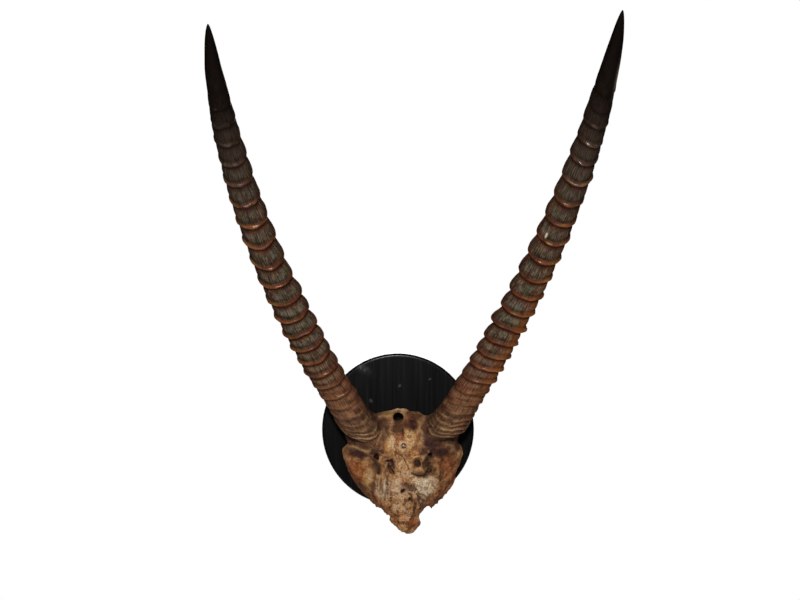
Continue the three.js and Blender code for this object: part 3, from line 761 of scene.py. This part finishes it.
def makeBoard():
    # a turned disc with a rounded front edge, cut by the pocket, the recess and the holes
    radius, thick, corner = board["radius"], board["thickness"], board["frontRound"]
    bevel, reach, slotZ = board["backEase"], board["reach"], board["slot"][1]
    turn = np.linspace(0, np.pi / 2, 12)
    arc = corner * np.stack([np.cos(turn), np.sin(turn)], axis=-1)
    face = [(r, thick) for r in np.linspace(radius - corner - 2, 4, 40)]
    back = [(r, 0) for r in np.linspace(4, radius - bevel, 12)]
    profile = [(0, 0), *back, (radius, bevel), *(arc + (radius - corner, thick - corner)), *face,
               (0, thick)]
    mesh = turned("board", profile, (0, 0, 0), board["sides"])
    inset = board["plateInset"] + board["plateThickness"] + board["gap"]
    pocketRadius, pocketDepth = board["pocket"]
    pegRadius = screw["brow"]["shank"] + board["gap"]
    mesh = cutAway(mesh, [
        slab("recess", plateOutline(board["gap"]), -reach, inset),
        upright("pocket", pocketRadius, -reach, pocketDepth, board["entry"][1], slotZ),
        *screwHoles("plate"), *screwHoles("skull"),
        roundPeg("peg", pegRadius, *screw["browHole"], *screw["browAt"]),
    ])
    places = vertexPlaces(mesh)
    x, z = places[:, 0], places[:, 2]
    # the rub is longer down to the right than it is wide
    across, down = x - board["rub"][0], z - board["rub"][1]
    slanted = np.hypot((0.8 * across - 0.6 * down) / 7, (0.6 * across + 0.8 * down) / 3)
    rub = 0.55 * bell(slanted, 0.8) * (0.5 + 0.5 * softNoise(places, 2.2, 5))
    specks = sum(0.5 * bell(np.hypot(x - sx, z - sz), size) for sx, sz, size in board["specks"])
    paint(mesh, "scuff", np.clip(rub + specks, 0, 1) * (places[:, 1] < 1 - thick))
    return mesh


addPiece("round_board", makeBoard(), finishes["wood"], "board", 40)


skull = {  # mm
    "rim": [  # x and z, clockwise from the left of the crown
        (-27, 20.5), (-18, 22.5), (-9.5, 23.5), (-5, 25), (-1, 26), (3, 26.2), (7, 26.2),
        (11, 24.5), (15, 22.8), (20, 22.6), (25, 22), (32, 18), (44, 21), (58, 20), (70, 12),
        (74, 0), (70, -12), (74.5, -19), (76.5, -27), (76, -39), (73, -47), (69.5, -55), (64, -67),
        (56, -77), (47, -87), (42, -92), (40, -94), (37.5, -90.5), (34, -91), (29, -96),
        (25, -100), (25.4, -106), (27, -112), (22, -118), (16, -123), (6, -121.8), (-2, -114.5),
        (-9.5, -107), (-9.7, -101.5), (-14, -98), (-18.5, -94), (-22, -92.2), (-26, -90),
        (-34.5, -81.5), (-42.5, -73), (-51, -62), (-58, -50), (-61, -42), (-64.5, -31), (-65, -22),
        (-59, -14), (-62, -6), (-60, 6), (-52, 16), (-40, 21),
    ],
    "middle": (4.0, -42.0),
    "curvePoints": 24, "rays": 560, "steps": 140, "wallRows": 14, "backRows": 5,
    "rimRound": (3.2, 6.0),  # how far the edge falls, and over what width
    "bead": (1.6, 4.5, 2.2),  # height, distance from the rim and spread of the orbits' raised rim
    "sawn": 18.3, "browZ": -18.0, "browDepth": 68.0, "crownFall": 0.0124, "noseFall": 0.037,
    "pedicles": [(-36, -6), (48, -6)], "pedicleRise": 11.0, "pedicleSpread": 14.0,
    "crownHole": (0.4, 16.2), "crownHoleSquash": 0.94,
    "drill": [(5.9, 44), (6.5, 54), (7.4, 62)],  # radius of the hole by distance from the wall
    "drillSides": 72, "drillRun": (8.3, 90),  # distances from the wall, where it starts and ends
    "orbits": [(-68, -20, -38), (79, -20, -38)], "orbitRadii": (24, 11, 19),
    "noseHollow": (5, -16, -100), "noseHollowRadii": (14, 11.5, 37),
    "lumpRows": 34, "lumpSides": 60,
    # openings in the bone: x, z, radius and depth
    "pits": [
        (-25.1, -29.6, 3.2, 9.0), (37.0, -27.4, 3.0, 9.0), (22.5, -38.0, 4.2, 3.2),
        (-8.0, -33.0, 1.6, 2.2), (-12.5, -32.4, 1.3, 2.2), (-10.5, -40.5, 1.3, 2.0),
        (36.5, -37.0, 1.7, 2.4), (33.0, -47.0, 1.8, 2.8), (39.5, -46.0, 1.5, 2.2),
        (-6.0, -45.5, 1.3, 1.8), (5.6, -69.5, 2.3, 4.5), (13.0, -79.5, 2.0, 4.5),
        (9.5, -61.5, 1.1, 2.0), (16.0, -64.0, 1.3, 2.2), (21.0, -68.0, 1.4, 2.4),
        (26.0, -74.0, 1.2, 1.8), (-3.5, -99.5, 1.6, 1.8), (4.5, -110.0, 1.5, 1.6),
        (8.0, -97.0, 1.2, 1.6), (16.5, -101.5, 1.4, 1.8), (-8.0, -77.0, 1.4, 2.2),
        (-12.0, -62.0, 1.1, 1.6), (26.5, -92.5, 1.8, 2.5), (-3.0, -84.0, 1.2, 1.6),
    ],
    # grooves and ridges along lines: points, half width and height
    "lines": [
        ([(-28, -33), (-27, -38), (-23.5, -41), (-24, -47)], 1.7, -1.6),
        ([(-30, -36), (-31, -43), (-27, -50)], 0.8, -1.0),
        ([(-55, -50), (-47, -61), (-37, -72), (-28, -82)], 0.8, -1.0),
        ([(-51, -52), (-43, -64), (-36, -70)], 0.6, -0.8),
        ([(-40, -64), (-30, -76), (-24, -86)], 0.7, -0.9),
        ([(62, -60), (54, -72), (45, -82), (38, -88)], 0.7, -0.9),
        ([(56, -62), (49, -73), (42, -78)], 0.6, -0.8),
        ([(34, -31), (33, -37), (35, -47), (31, -53)], 2.0, -2.0),
        ([(17, -49.5), (22, -51.6), (28, -52.6), (33, -51.5)], 1.1, -2.0),
        ([(5, 5), (6.2, -1), (8.2, -7)], 0.5, -1.3),
        ([(-1, -23), (1.5, -25.5), (6.6, -31), (11, -38), (12, -45)], 0.5, -1.3),
        ([(-2, -8), (-4, -15), (-1, -21), (-3, -27)], 0.4, -0.9),
        ([(-13, -33), (-7.5, -32.5), (-6, -37), (-9.5, -40.5), (-6.5, -44.5),
          (-5, -49)], 0.9, -1.8),
        ([(-11.5, -36.5), (-12, -43.5), (-9, -47.5)], 0.8, -1.6),
        ([(32, -41), (37, -41), (39.5, -45), (36, -49), (32.5, -46)], 0.8, -1.6),
        ([(9, -60), (13, -63), (12, -67), (17, -69)], 0.8, -1.4),
        ([(18, -62), (21, -66), (19, -71)], 0.7, -1.2),
        ([(24, -64), (28, -68), (25, -72), (29, -76)], 0.6, -1.0),
        ([(14, -72), (17, -78), (16, -84)], 0.9, -1.6),
        ([(8, -86), (12, -92), (10, -99)], 0.7, -1.0),
        ([(26, -80), (31, -83), (29, -88)], 0.8, -1.4),
        ([(-6, -86), (-11, -90), (-8, -96)], 0.8, -1.3),
        ([(0, -98), (-3, -104), (2, -110)], 0.7, -1.0),
        ([(14, -96), (18, -100), (15, -107)], 0.7, -1.0),
        ([(5, -41), (3.5, -48), (4.5, -57)], 0.5, -0.5),
        ([(-12, -52), (-12.5, -63)], 0.9, -1.3),
        ([(-19, -57), (-22, -72)], 0.9, -1.2),
        ([(-14, -66), (-15.5, -80)], 0.9, -1.3),
        ([(-8.5, -58), (-9, -74)], 0.7, -0.9),
        ([(22, -73), (26, -78), (24, -84), (28, -90)], 0.8, -1.4),
        ([(30, -76), (34, -79), (38, -77)], 0.7, -1.2),
        ([(18, -82), (21, -90), (19, -96)], 0.8, -1.4),
        ([(50, -22), (52, -34), (49, -46), (50, -58)], 1.0, -1.0),
        ([(-33, -40), (-28, -52), (-27, -64)], 1.2, -0.9),
        ([(16, -36), (17, -31.5), (20.5, -29.2), (25, -28.6), (27.5, -30)], 0.9, 1.8),
        ([(27, -34), (28.4, -38), (29.6, -43), (33, -49)], 0.8, 1.7),
        ([(22.3, -37.4), (23.3, -39.2)], 0.9, 1.5),
        ([(35.4, -22.5), (35.4, -31)], 0.7, 2.2),
        ([(-21, -24), (-14.5, -27), (-8.1, -26)], 0.8, 1.4),
        ([(-12.6, -35), (-14.4, -39), (-17, -45)], 0.8, 2.0),
        ([(31, 18), (26.5, 11.5), (24.8, 4), (26.7, -3), (26.7, -11.9), (24.6, -16)], 1.6, 1.4),
        ([(-16, 4), (-20, -4), (-25, -13)], 1.2, 0.9),
        ([(-15.5, 3), (-12.5, -9), (-14.5, -20)], 1.0, 0.6),
        ([(-61, -18.5), (-52, -18.2), (-41, -20.8), (-34.5, -22)], 1.5, 2.2),
        ([(57.5, -16), (62, -17.5), (64.5, -23)], 1.5, 1.4),
        ([(-20, 18.5), (-14, 20), (-8.5, 19)], 2.0, 1.4),
    ],
    # patches of each colour, and of speckled bone: x, z, half width, half height, strength
    "patches": {
        "dusk": [
            (18, 10, 8.5, 11.5, 1.08), (12, 19, 6, 4, 0.75), (22, 17, 6, 5, 0.9),
            (-15, 9, 7.5, 6, 0.9), (-1, 4, 10, 8, 0.9), (-17, -2, 7, 10, 0.85),
            (-5, 20, 5, 3, 0.6), (10, 9, 5, 7, 0.85), (38, -12, 12, 11, 1.08), (33, 0, 4, 12, 1.0),
            (33, -22, 8, 7, 0.95), (47, -23, 16, 7.5, 1.05), (-24, -15, 6, 6, 0.9),
            (-27, -23, 10, 5.5, 1.0), (-30, -30, 4, 5, 0.7), (-47, -27, 15, 6, 1.05),
            (-25, -40, 5.5, 8, 0.7), (37, -34, 7, 8, 0.75), (38, -46, 7, 6, 0.7),
            (24, -36, 5.5, 5, 0.75), (49, -21, 9, 4, 0.75), (-46, -68, 12, 9, 0.75),
            (11, -66, 11, 6, 0.6), (27, -84, 8, 9, 0.5), (-9, -38, 6, 10, 0.85),
            (50, -50, 3, 9, 0.5), (-56, -8, 8, 12, 0.8), (66, -8, 8, 10, 0.8),
            (67, -34, 5, 12, 0.5), (-29, -68, 3, 9, 0.8), (52, -33, 3, 5, 0.45),
            (56, -47, 2.5, 6, 0.45), (-24, -44, 5, 5, 0.85), (26, -50, 8, 4, 0.85),
        ],
        "amber": [
            (-47, -48, 9, 15, 0.95), (-55, -42, 6, 14, 0.7), (58, -38, 12, 13, 0.95),
            (62, -52, 8, 12, 0.75), (50, -76, 12, 13, 0.6), (18, -110, 8, 6, 1.0),
            (3, -6, 6, 7, 0.75), (-33, -80, 13, 9, 0.65), (-20, -8, 6, 6, 0.4),
            (4, -104, 14, 8, 0.35), (12, 12, 6, 8, 0.6),
        ],
        "gold": [
            (14.5, -3, 6.5, 9, 0.9), (-35, -54, 5, 11, 0.8), (-14, 19, 8, 3, 0.9),
            (60, -17, 5, 4, 0.6), (-17, -60, 6, 10, 0.6), (10, -18, 6, 6, 0.4),
            (27, 6, 3, 14, 0.5), (-10, -14, 5, 8, 0.5),
        ],
        "pale": [
            (13, -8, 6, 9, 0.35), (6, -17, 5, 8, 0.4), (4, -38, 9, 14, 0.15),
            (32, -64, 12, 13, 1.15), (-7, -12, 4, 8, 0.4), (8, -50, 11, 10, 0.3),
            (-2, -66, 6, 10, 0.6), (4, 25, 10, 2.5, 0.6), (11, -99, 6, 7, 0.3),
            (22, -58, 7, 6, 0.7), (-33, -52, 5, 7, 0.4), (25, -74, 8, 8, 0.5),
            (2, -88, 9, 9, 0.22), (-17, -66, 9, 14, 0.7), (38, -58, 7, 8, 0.7),
            (5, -76, 14, 14, 0.25),
        ],
        "speckle": [
            (6, -106, 24, 16, 1.0), (10, -84, 24, 14, 0.85), (46, -70, 18, 20, 0.4),
            (-8, -88, 18, 14, 0.6), (5, 8, 32, 16, 0.6), (38, -40, 14, 14, 0.65),
            (-15, -36, 14, 12, 0.5), (5, -30, 20, 24, 0.3), (-44, -60, 20, 18, 0.3),
        ],
    },
}


def nearLine(x, z, points):
    # distance from each place to a line of straight stretches
    nearest = np.full(x.shape, 1e9)
    for (ax, az), (bx, bz) in zip(points[:-1], points[1:]):
        runX, runZ = bx - ax, bz - az
        part = np.clip(((x - ax) * runX + (z - az) * runZ) / (runX ** 2 + runZ ** 2), 0, 1)
        nearest = np.minimum(nearest, np.hypot(x - ax - part * runX, z - az - part * runZ))
    return nearest


def boneShape(x, z):
    # the plain form: a ridge down the middle that falls to both sides, swollen under each horn
    above, below = np.maximum(0, z - skull["browZ"]), np.maximum(0, skull["browZ"] - z)
    ridge = skull["browDepth"] - skull["crownFall"] * above ** 2 - skull["noseFall"] * below ** 1.5
    across = np.minimum(1.15, np.abs(x - skull["middle"][0]) / np.clip(87 + 0.58 * z, 22, 70))
    depth = ridge - np.clip(37 + 0.2 * z, 12, 31) * across ** 2.2
    for px, pz in skull["pedicles"]:
        swollen = bell(np.hypot(x - px, z - pz), skull["pedicleSpread"])
        depth = depth + skull["pedicleRise"] * swollen
    return depth


def patchesOf(kind, x, z):
    # the strongest of the patches of one kind at each place, with soft edges
    total = np.zeros(x.shape)
    for px, pz, halfX, halfZ, strength in skull["patches"][kind]:
        away = np.hypot((x - px) / halfX, (z - pz) / halfZ)
        total = np.maximum(total, strength * ease(1.4, 0.5, away))
    return total


def boneDetail(x, z):
    # what lies on the plain form: its height in mm, and how much of each place is crust,
    # cavity (dirt and painted shade, darker the deeper the pit) and crest (wear and painted
    # highlight)
    flat = np.stack([x, 0 * x, z], axis=-1)
    bent = flat + 1.6 * np.stack([softNoise(flat, 6, 41), 0 * x, softNoise(flat, 6, 42)], axis=-1)
    bx, bz = bent[..., 0], bent[..., 2]
    speckled = 0.25 + patchesOf("speckle", x, z)
    coarse = roughNoise(bent, 6, 45, 4)
    spots = ease(0.12, 0.42, roughNoise(bent * (1, 1, 0.75), 3.4, 46, 3)) * speckled
    veins = ease(0.16, 0.02, np.abs(softNoise(bent, 5.5, 47)))
    veins = veins * ease(0.0, 0.5, softNoise(bent, 8, 48))
    height = roughNoise(flat, 15, 43, 3) + 0.3 * (0.5 + speckled) * roughNoise(flat, 2.6, 55, 2)
    height += 0.35 * speckled * coarse - 0.7 * spots - 0.4 * veins * speckled
    # rough where the right nasal bone is broken, and fibrous beside the left one
    height += 1.8 * bell(np.hypot((bx - 16) / 18, (bz + 74) / 16), 0.75) * coarse
    streaks = bell(np.hypot((bx + 17) / 13, (bz + 66) / 18), 0.8)
    fibrous = softNoise(flat * (1, 1, 0.12), 2.0, 49)
    height += 0.7 * streaks * fibrous
    cavityDirtAndShade, crestWearAndHighlight = np.zeros(x.shape), np.zeros(x.shape)
    # each pit has a low raised lip
    for px, pz, radius, deep in skull["pits"]:
        away = np.hypot(bx - px, (bz - pz) * 0.9)
        inside = ease(1.25, 0.6, away / radius)
        height -= deep * inside
        height += 0.4 * bell(away - 1.55 * radius, 0.8)
        cavityDirtAndShade = np.maximum(cavityDirtAndShade, inside * min(1, deep / 3.5))
    for points, half, rise in skull["lines"]:
        near = bell(nearLine(bx, bz, points), half)
        height += rise * near
        if rise < 0:
            cavityDirtAndShade = np.maximum(cavityDirtAndShade, near * min(0.85, -rise / 2))
        else:
            crestWearAndHighlight = np.maximum(crestWearAndHighlight, near * min(0.62, rise / 3))
    crust = np.clip(spots + 0.3 * veins * speckled + 0.7 * streaks * ease(0.1, -0.7, fibrous), 0, 1)
    return height, crust, cavityDirtAndShade, crestWearAndHighlight


def skullRim():
    # closed curve through the rim's points (each stretch a cubic of its four neighbours),
    # evenly spaced, roughened where the bone is broken
    p1 = np.array(skull["rim"], float)
    p0, p2, p3 = np.roll(p1, 1, axis=0), np.roll(p1, -1, axis=0), np.roll(p1, -2, axis=0)
    t = np.linspace(0, 1, skull["curvePoints"], endpoint=False)[None, :, None]
    p0, p1, p2, p3 = (p[:, None] for p in (p0, p1, p2, p3))
    bent = 2 * p0 - 5 * p1 + 4 * p2 - p3 + t * (3 * (p1 - p2) + p3 - p0)
    curve = (p1 + 0.5 * t * (p2 - p0 + t * bent)).reshape(-1, 2)
    closed = np.concatenate([curve, curve[:1]])
    run = np.concatenate([[0], np.cumsum(np.linalg.norm(np.diff(closed, axis=0), axis=1))])
    even = np.linspace(0, run[-1], skull["rays"], endpoint=False)
    x, z = (np.interp(even, run, closed[:, i]) for i in (0, 1))
    flat = np.stack([x, 0 * x, z], axis=-1)
    broken = ease(-70, -86, z) * (1 - 0.85 * ease(-97, -103, z))
    inward = softNoise(flat, 2.6, 51) * (0.35 + 1.2 * broken) + 0.25 * softNoise(flat, 1.1, 52)
    inward = np.where(z < -118, np.abs(inward), inward)
    ray = np.stack([x, z], axis=-1) - skull["middle"]
    ray /= np.linalg.norm(ray, axis=1)[:, None]
    return np.stack([x, z], axis=-1) - ray * inward[:, None]


def makeSkull():
    # rays from the middle to the rim, raised to the bone's depth, then the side and the saw cut
    rim, middle, sawn = skullRim(), np.array(skull["middle"]), skull["sawn"]
    part = np.linspace(0, 1, skull["steps"] + 1)[1:, None, None]
    flat = middle + (rim - middle)[None] * part
    x, z = flat[..., 0], flat[..., 1]
    toRim = (1 - part[..., 0]) * np.linalg.norm(rim - middle, axis=1)
    fall, width = skull["rimRound"]
    rounded = fall * (1 - ease(0, width, toRim)) ** 2
    rise, inside, spread = skull["bead"]
    bead = rise * bell(toRim - inside, spread) * ease(-64, -50, z) * ease(-5, -16, z)
    depth = boneShape(x, z) + boneDetail(x, z)[0] - rounded + bead
    top = np.stack([x, -depth, z], axis=-1)
    # the side goes back to the saw cut, drawn in under the rim
    down = np.linspace(0, 1, skull["wallRows"] + 1)[1:, None]
    edge = depth[-1]
    wallDepth = edge + (sawn - edge) * down
    drawn = 1 - (0.02 + 0.07 * np.sin(np.pi * 0.5 * down)) * (down > 0)
    beside = np.stack([rim[:, 0] + 0 * down, wallDepth, rim[:, 1] + 0 * down], axis=-1)
    drawn = drawn + 0.5 * softNoise(beside, 4, 53) / 60
    wallX, wallZ = [middle[i] + (rim - middle)[:, i] * drawn for i in (0, 1)]
    wall = np.stack([wallX, -wallDepth, wallZ], axis=-1)
    inner = np.linspace(1, 0, skull["backRows"] + 1)[1:-1, None]
    backX, backZ = [m + (side[-1] - m) * inner for m, side in zip(middle, (wallX, wallZ))]
    back = np.stack([backX, 0 * backX - sawn, backZ], axis=-1)
    grid = np.concatenate([top, wall, back])
    peak = (boneShape(*middle[:, None]) + boneDetail(*middle[:, None])[0])[0]
    return ringedMesh("skull", grid, (middle[0], -peak, middle[1]), (middle[0], -sawn, middle[1]))


def ovalLump(name, centre, radii, seed):
    # an ellipsoid whose radius wavers a little
    tilt = np.linspace(-np.pi / 2, np.pi / 2, skull["lumpRows"])[1:-1, None]
    turn = np.linspace(0, 2 * np.pi, skull["lumpSides"], endpoint=False)[None]
    flat = np.cos(tilt)
    ball = np.stack([flat * np.cos(turn), flat * np.sin(turn), np.sin(tilt) + 0 * turn], axis=-1)
    ball *= 1 + 0.07 * softNoise(ball, 0.5, seed)[..., None]
    centre, radii = np.array(centre, float), np.array(radii, float)
    up = np.array([0, 0, radii[2]])
    return ringedMesh(name, centre + radii * ball, centre - up, centre + up)


browDepth = float(boneShape(*np.array(screw["browAt"])[:, None])[0]) - screw["browSunk"]


def cutSkull(mesh):
    # the crown's drilled hole, the orbits, the hollow nose, the screws' holes and the horns' seats
    drill, (start, end) = skull["drill"], skull["drillRun"]
    drilled = [(0, start), (drill[0][0], start), *drill, (drill[-1][0], end), (0, end)]
    (holeX, holeZ), (browX, browZ) = skull["crownHole"], screw["browAt"]
    shank, (low, high) = screw["brow"]["shank"] + board["gap"], screw["browSeat"]
    seat, back = browDepth - 0.2, screw["browHole"][0]
    top = seat + screw["browSeatDepth"]
    seated = [(0, back), (shank, back), (shank, seat), (low, seat), (high, top), (0, top)]
    return cutAway(mesh, [
        turned("drill", drilled, (holeX, 0, holeZ), skull["drillSides"], skull["crownHoleSquash"]),
        *[ovalLump("orbit", centre, skull["orbitRadii"], seed)
          for centre, seed in zip(skull["orbits"], (61, 62))],
        ovalLump("hollow", skull["noseHollow"], skull["noseHollowRadii"], 65),
        *screwHoles("skull"),
        turned("seat", seated, (browX, 0, browZ), screw["sides"]),
        *[hornMesh(side, board["gap"]) for side in ("left", "right")],
    ])


def paintSkull(mesh):
    # the patches, with dried tissue and painted shadow around each horn and a darker band along the
    # rim
    places = vertexPlaces(mesh)
    x, z = places[:, 0], places[:, 2]
    shiftX, shiftZ = [4.0 * roughNoise(places, 8, seed, 4) for seed in (71, 72)]
    _, crust, cavityDirtAndShade, crestWearAndHighlight = boneDetail(x, z)
    behind = ease(3.0, 8.0, boneShape(x, z) + places[:, 1])  # sides, hollows and sawn back
    front = 1 - behind
    # a dark collar around each horn's foot: partly dried tissue, partly painted shadow of the horn
    collarTissueAndShade = np.zeros(len(places))
    for side in ("left", "right"):
        foot, bend = np.array(horn[side][:2], float)
        way = (bend - foot) / np.linalg.norm(bend - foot)
        beyond = np.maximum((places - foot) @ way, 0)[:, None]
        away = np.linalg.norm(places - foot - way * beyond, axis=1) - horn["radius"] + shiftX
        collarTissueAndShade = np.maximum(collarTissueAndShade, ease(20, 9, away))
    toRim = nearLine(x, z, [*skull["rim"], skull["rim"][0]])
    edge = ease(11, 2, toRim + shiftZ) * ease(-25, -45, z) * ease(-104, -92, z)
    patch = {name: patchesOf(name, x + shiftX, z + shiftZ) * front
             for name in ("dusk", "amber", "gold", "pale")}
    dusk = np.maximum(patch["dusk"], 0.95 * collarTissueAndShade * front) + 0.5 * behind
    spongy = ease(0.0, 0.5, roughNoise(places, 3.0, 73, 3))
    layers = {
        "dusk": 0.92 * np.maximum(dusk, 0.45 * edge * front),
        "amber": 0.92 * np.maximum(patch["amber"], 0.8 * edge * front),
        "gold": 0.92 * patch["gold"],
        "pale": 0.92 * patch["pale"],
        "crust": crust * front + 0.8 * spongy * behind,
        "cavityDirtAndShade": cavityDirtAndShade * np.maximum(front, ease(0.5, 0.9, cavityDirtAndShade)),
        "crestWearAndHighlight": crestWearAndHighlight * front,
    }
    for name, values in layers.items():
        paint(mesh, name, np.clip(values, 0, 1))


skullMesh = cutSkull(makeSkull())
paintSkull(skullMesh)
addPiece("skull_cap", skullMesh, finishes["bone"], "skull", 55)


def threaded(name, size, place, base, facing, dome=0.0):
    # a wood screw: a helical thread on a shank that narrows to a point, and a turned head;
    # facing is 1 for a head towards the room and -1 for a head towards the wall
    length, head = size["length"], size["head"]
    turn = np.linspace(0, 2 * np.pi, screw["sides"], endpoint=False)[None]
    start = 0.4 if dome else size["headDepth"]
    down = np.linspace(start, length - 0.2, 12 * int(length / size["pitch"]))[:, None]
    taper = np.minimum(1, (length - down) / 5)
    wave = np.abs(2 * np.mod(down / size["pitch"] - facing * turn / (2 * np.pi), 1) - 1)
    cut = ease(0.35, 0.5, down / length)
    shank = size["shank"] * taper * (1 - 0.28 * cut * ease(0.25, 0.8, wave))
    if dome:
        rise = np.linspace(0.5 * np.pi, 0.05, 12)
        headRadius = np.concatenate([head * np.cos(rise), [head, head - 0.15, size["shank"]]])
        headDown = np.concatenate([-dome * np.sin(rise), [-0.05, 0.0, 0.0]])
    else:
        headRadius = np.array([head - 0.15, head, head - 0.1])
        headDown = np.array([0.0, 0.15, 0.4])
    headRadius, headDown = headRadius[headRadius > 1e-6], headDown[headRadius > 1e-6]
    radius = np.concatenate([headRadius[:, None] + 0 * turn, shank])
    away = np.concatenate([headDown[:, None] + 0 * turn, down + 0 * turn])
    x, z = place
    grid = np.stack([
        x + radius * np.sin(turn), base + facing * away, z + radius * np.cos(turn)], axis=-1)
    mesh = ringedMesh(name, grid, *[(x, base + facing * end, z) for end in (-dome, length)])
    slotDepth = dome / 2 if dome else size["headDepth"] / 3
    long, half = 1.6 * head, screw["slotWidth"] / 2
    outline = np.array([(-long, -half), (long, -half), (long, half), (-long, half)]) + place
    top = base - facing * dome
    near, far = sorted([-(top - 2 * facing), -(top + facing * slotDepth)])
    return cutAway(mesh, [slab("slot", outline, near, far)])


brow, skullInset, plateInset = screw["brow"], screw["skullInset"], screw["plateInset"]
addPiece("brow_screw", threaded("brow", brow, screw["browAt"], -browDepth, 1, brow["dome"]),
         finishes["screw"], "forehead_screw", 30)
for side, place in screw["skullAt"].items():
    addPiece("wood_screw_" + side, threaded("wood", screw["skull"], place, -skullInset, -1),
             finishes["screw"], "skull_screw_" + side, 30)
for end, place in screw["plateAt"].items():
    addPiece("plate_screw_" + end, threaded("small", screw["plate"], place, -plateInset, -1),
             finishes["plate"], "hanger_screw_" + end, 30)


def makePlate():
    # a flat plate with round corners, cut by the keyhole and its screws' holes
    near, far = board["plateInset"], board["plateInset"] + board["plateThickness"]
    (entryRadius, entryZ), (slotRadius, slotZ) = board["entry"], board["slot"]
    return cutAway(slab("plate", plateOutline(), near, far), [
        roundPeg("entry", entryRadius, near - 3, far + 3, 0, board["plateZ"] + entryZ),
        upright("slot", slotRadius, near - 3, far + 3, entryZ, slotZ),
        *screwHoles("plate"),
    ])


addPiece("keyhole_plate", makePlate(), finishes["plate"], "hanger_plate", 30)
print("pieces made")


studio = {
    "floorZ": -0.55, "floorRadius": 1.3, "floorThickness": 0.02, "floorSides": 96,  # metres
    "around": 0.04,  # strength of the white room's light, which the camera sees at full strength
    # each light's place, what it points at, its power in watts and its size
    "lights": {
        "key": ((-0.08, -2.3, 0.68), (0, -0.08, 0.15), 34.0, 0.25),
        "fillLeft": ((-2.0, -1.2, 0.9), (0, -0.08, 0.15), 2.0, 1.2),
        "fillRight": ((2.0, -1.2, 0.9), (0, -0.08, 0.15), 2.0, 1.2),
        "behind": ((0.2, 2.3, 0.3), (0, 0, 0.1), 15.0, 1.2),
    },
}
for name, (place, aim, power, size) in studio["lights"].items():
    lamp = bpy.data.lights.new(name, "AREA")
    lamp.energy, lamp.size, lamp.shape = power, size, "DISK"
    light = bpy.data.objects.new(name, lamp)
    light.location = place
    light.visible_camera = False
    light.rotation_euler = (Vector(aim) - Vector(place)).to_track_quat("-Z", "Y").to_euler()
    bpy.context.scene.collection.objects.link(light)

world = bpy.data.worlds.new("white room")
bpy.context.scene.world = world
world.use_nodes = True
backdrop = world.node_tree
backdrop.nodes.clear()
lit, seen = [node(backdrop, "Background", {"Color": linear("#ffffff"), "Strength": strength})
             for strength in (studio["around"], 1.0)]
shown = node(backdrop, "MixShader", {0: node(backdrop, "LightPath", {}), 1: lit, 2: seen})
setInputs(backdrop, backdrop.nodes.new("ShaderNodeOutputWorld"), {"Surface": shown})

turn = np.linspace(0, 2 * np.pi, studio["floorSides"], endpoint=False)
reach, top = studio["floorRadius"] / mm, studio["floorZ"] / mm
under = top - studio["floorThickness"] / mm
disc = np.array([np.stack([reach * np.cos(turn), reach * np.sin(turn), 0 * turn + level], axis=-1)
                 for level in (under, top)])
floorMesh = ringedMesh("floor", disc, (0, 0, under), (0, 0, top))
paper, paperTree, paperShader = newFinish("pale paper")
setInputs(paperTree, paperShader, {"Base Color": linear("#e9e8e5"), "Roughness": 0.9})
floorMesh.materials.append(paper)
floorMesh.polygons.foreach_set("use_smooth", np.zeros(len(floorMesh.polygons), bool))
floor = bpy.data.objects.new("floor", floorMesh)
bpy.context.scene.collection.objects.link(floor)

camera = {
    "place": (2.4, -2400.0, 153.3),  # mm, square on to the wall
    "lens": 90.5, "sensor": 36.0, "clip": (0.05, 50.0),
}
lens = bpy.data.cameras.new("camera")
lens.lens, lens.sensor_width = camera["lens"], camera["sensor"]
lens.clip_start, lens.clip_end = camera["clip"]
eye = bpy.data.objects.new("camera", lens)
eye.location = [value * mm for value in camera["place"]]
eye.rotation_euler = (math.pi / 2, 0, 0)
bpy.context.scene.collection.objects.link(eye)
bpy.context.scene.camera = eye
bpy.context.scene.view_settings.view_transform = "Standard"
print("room, lights and camera set")
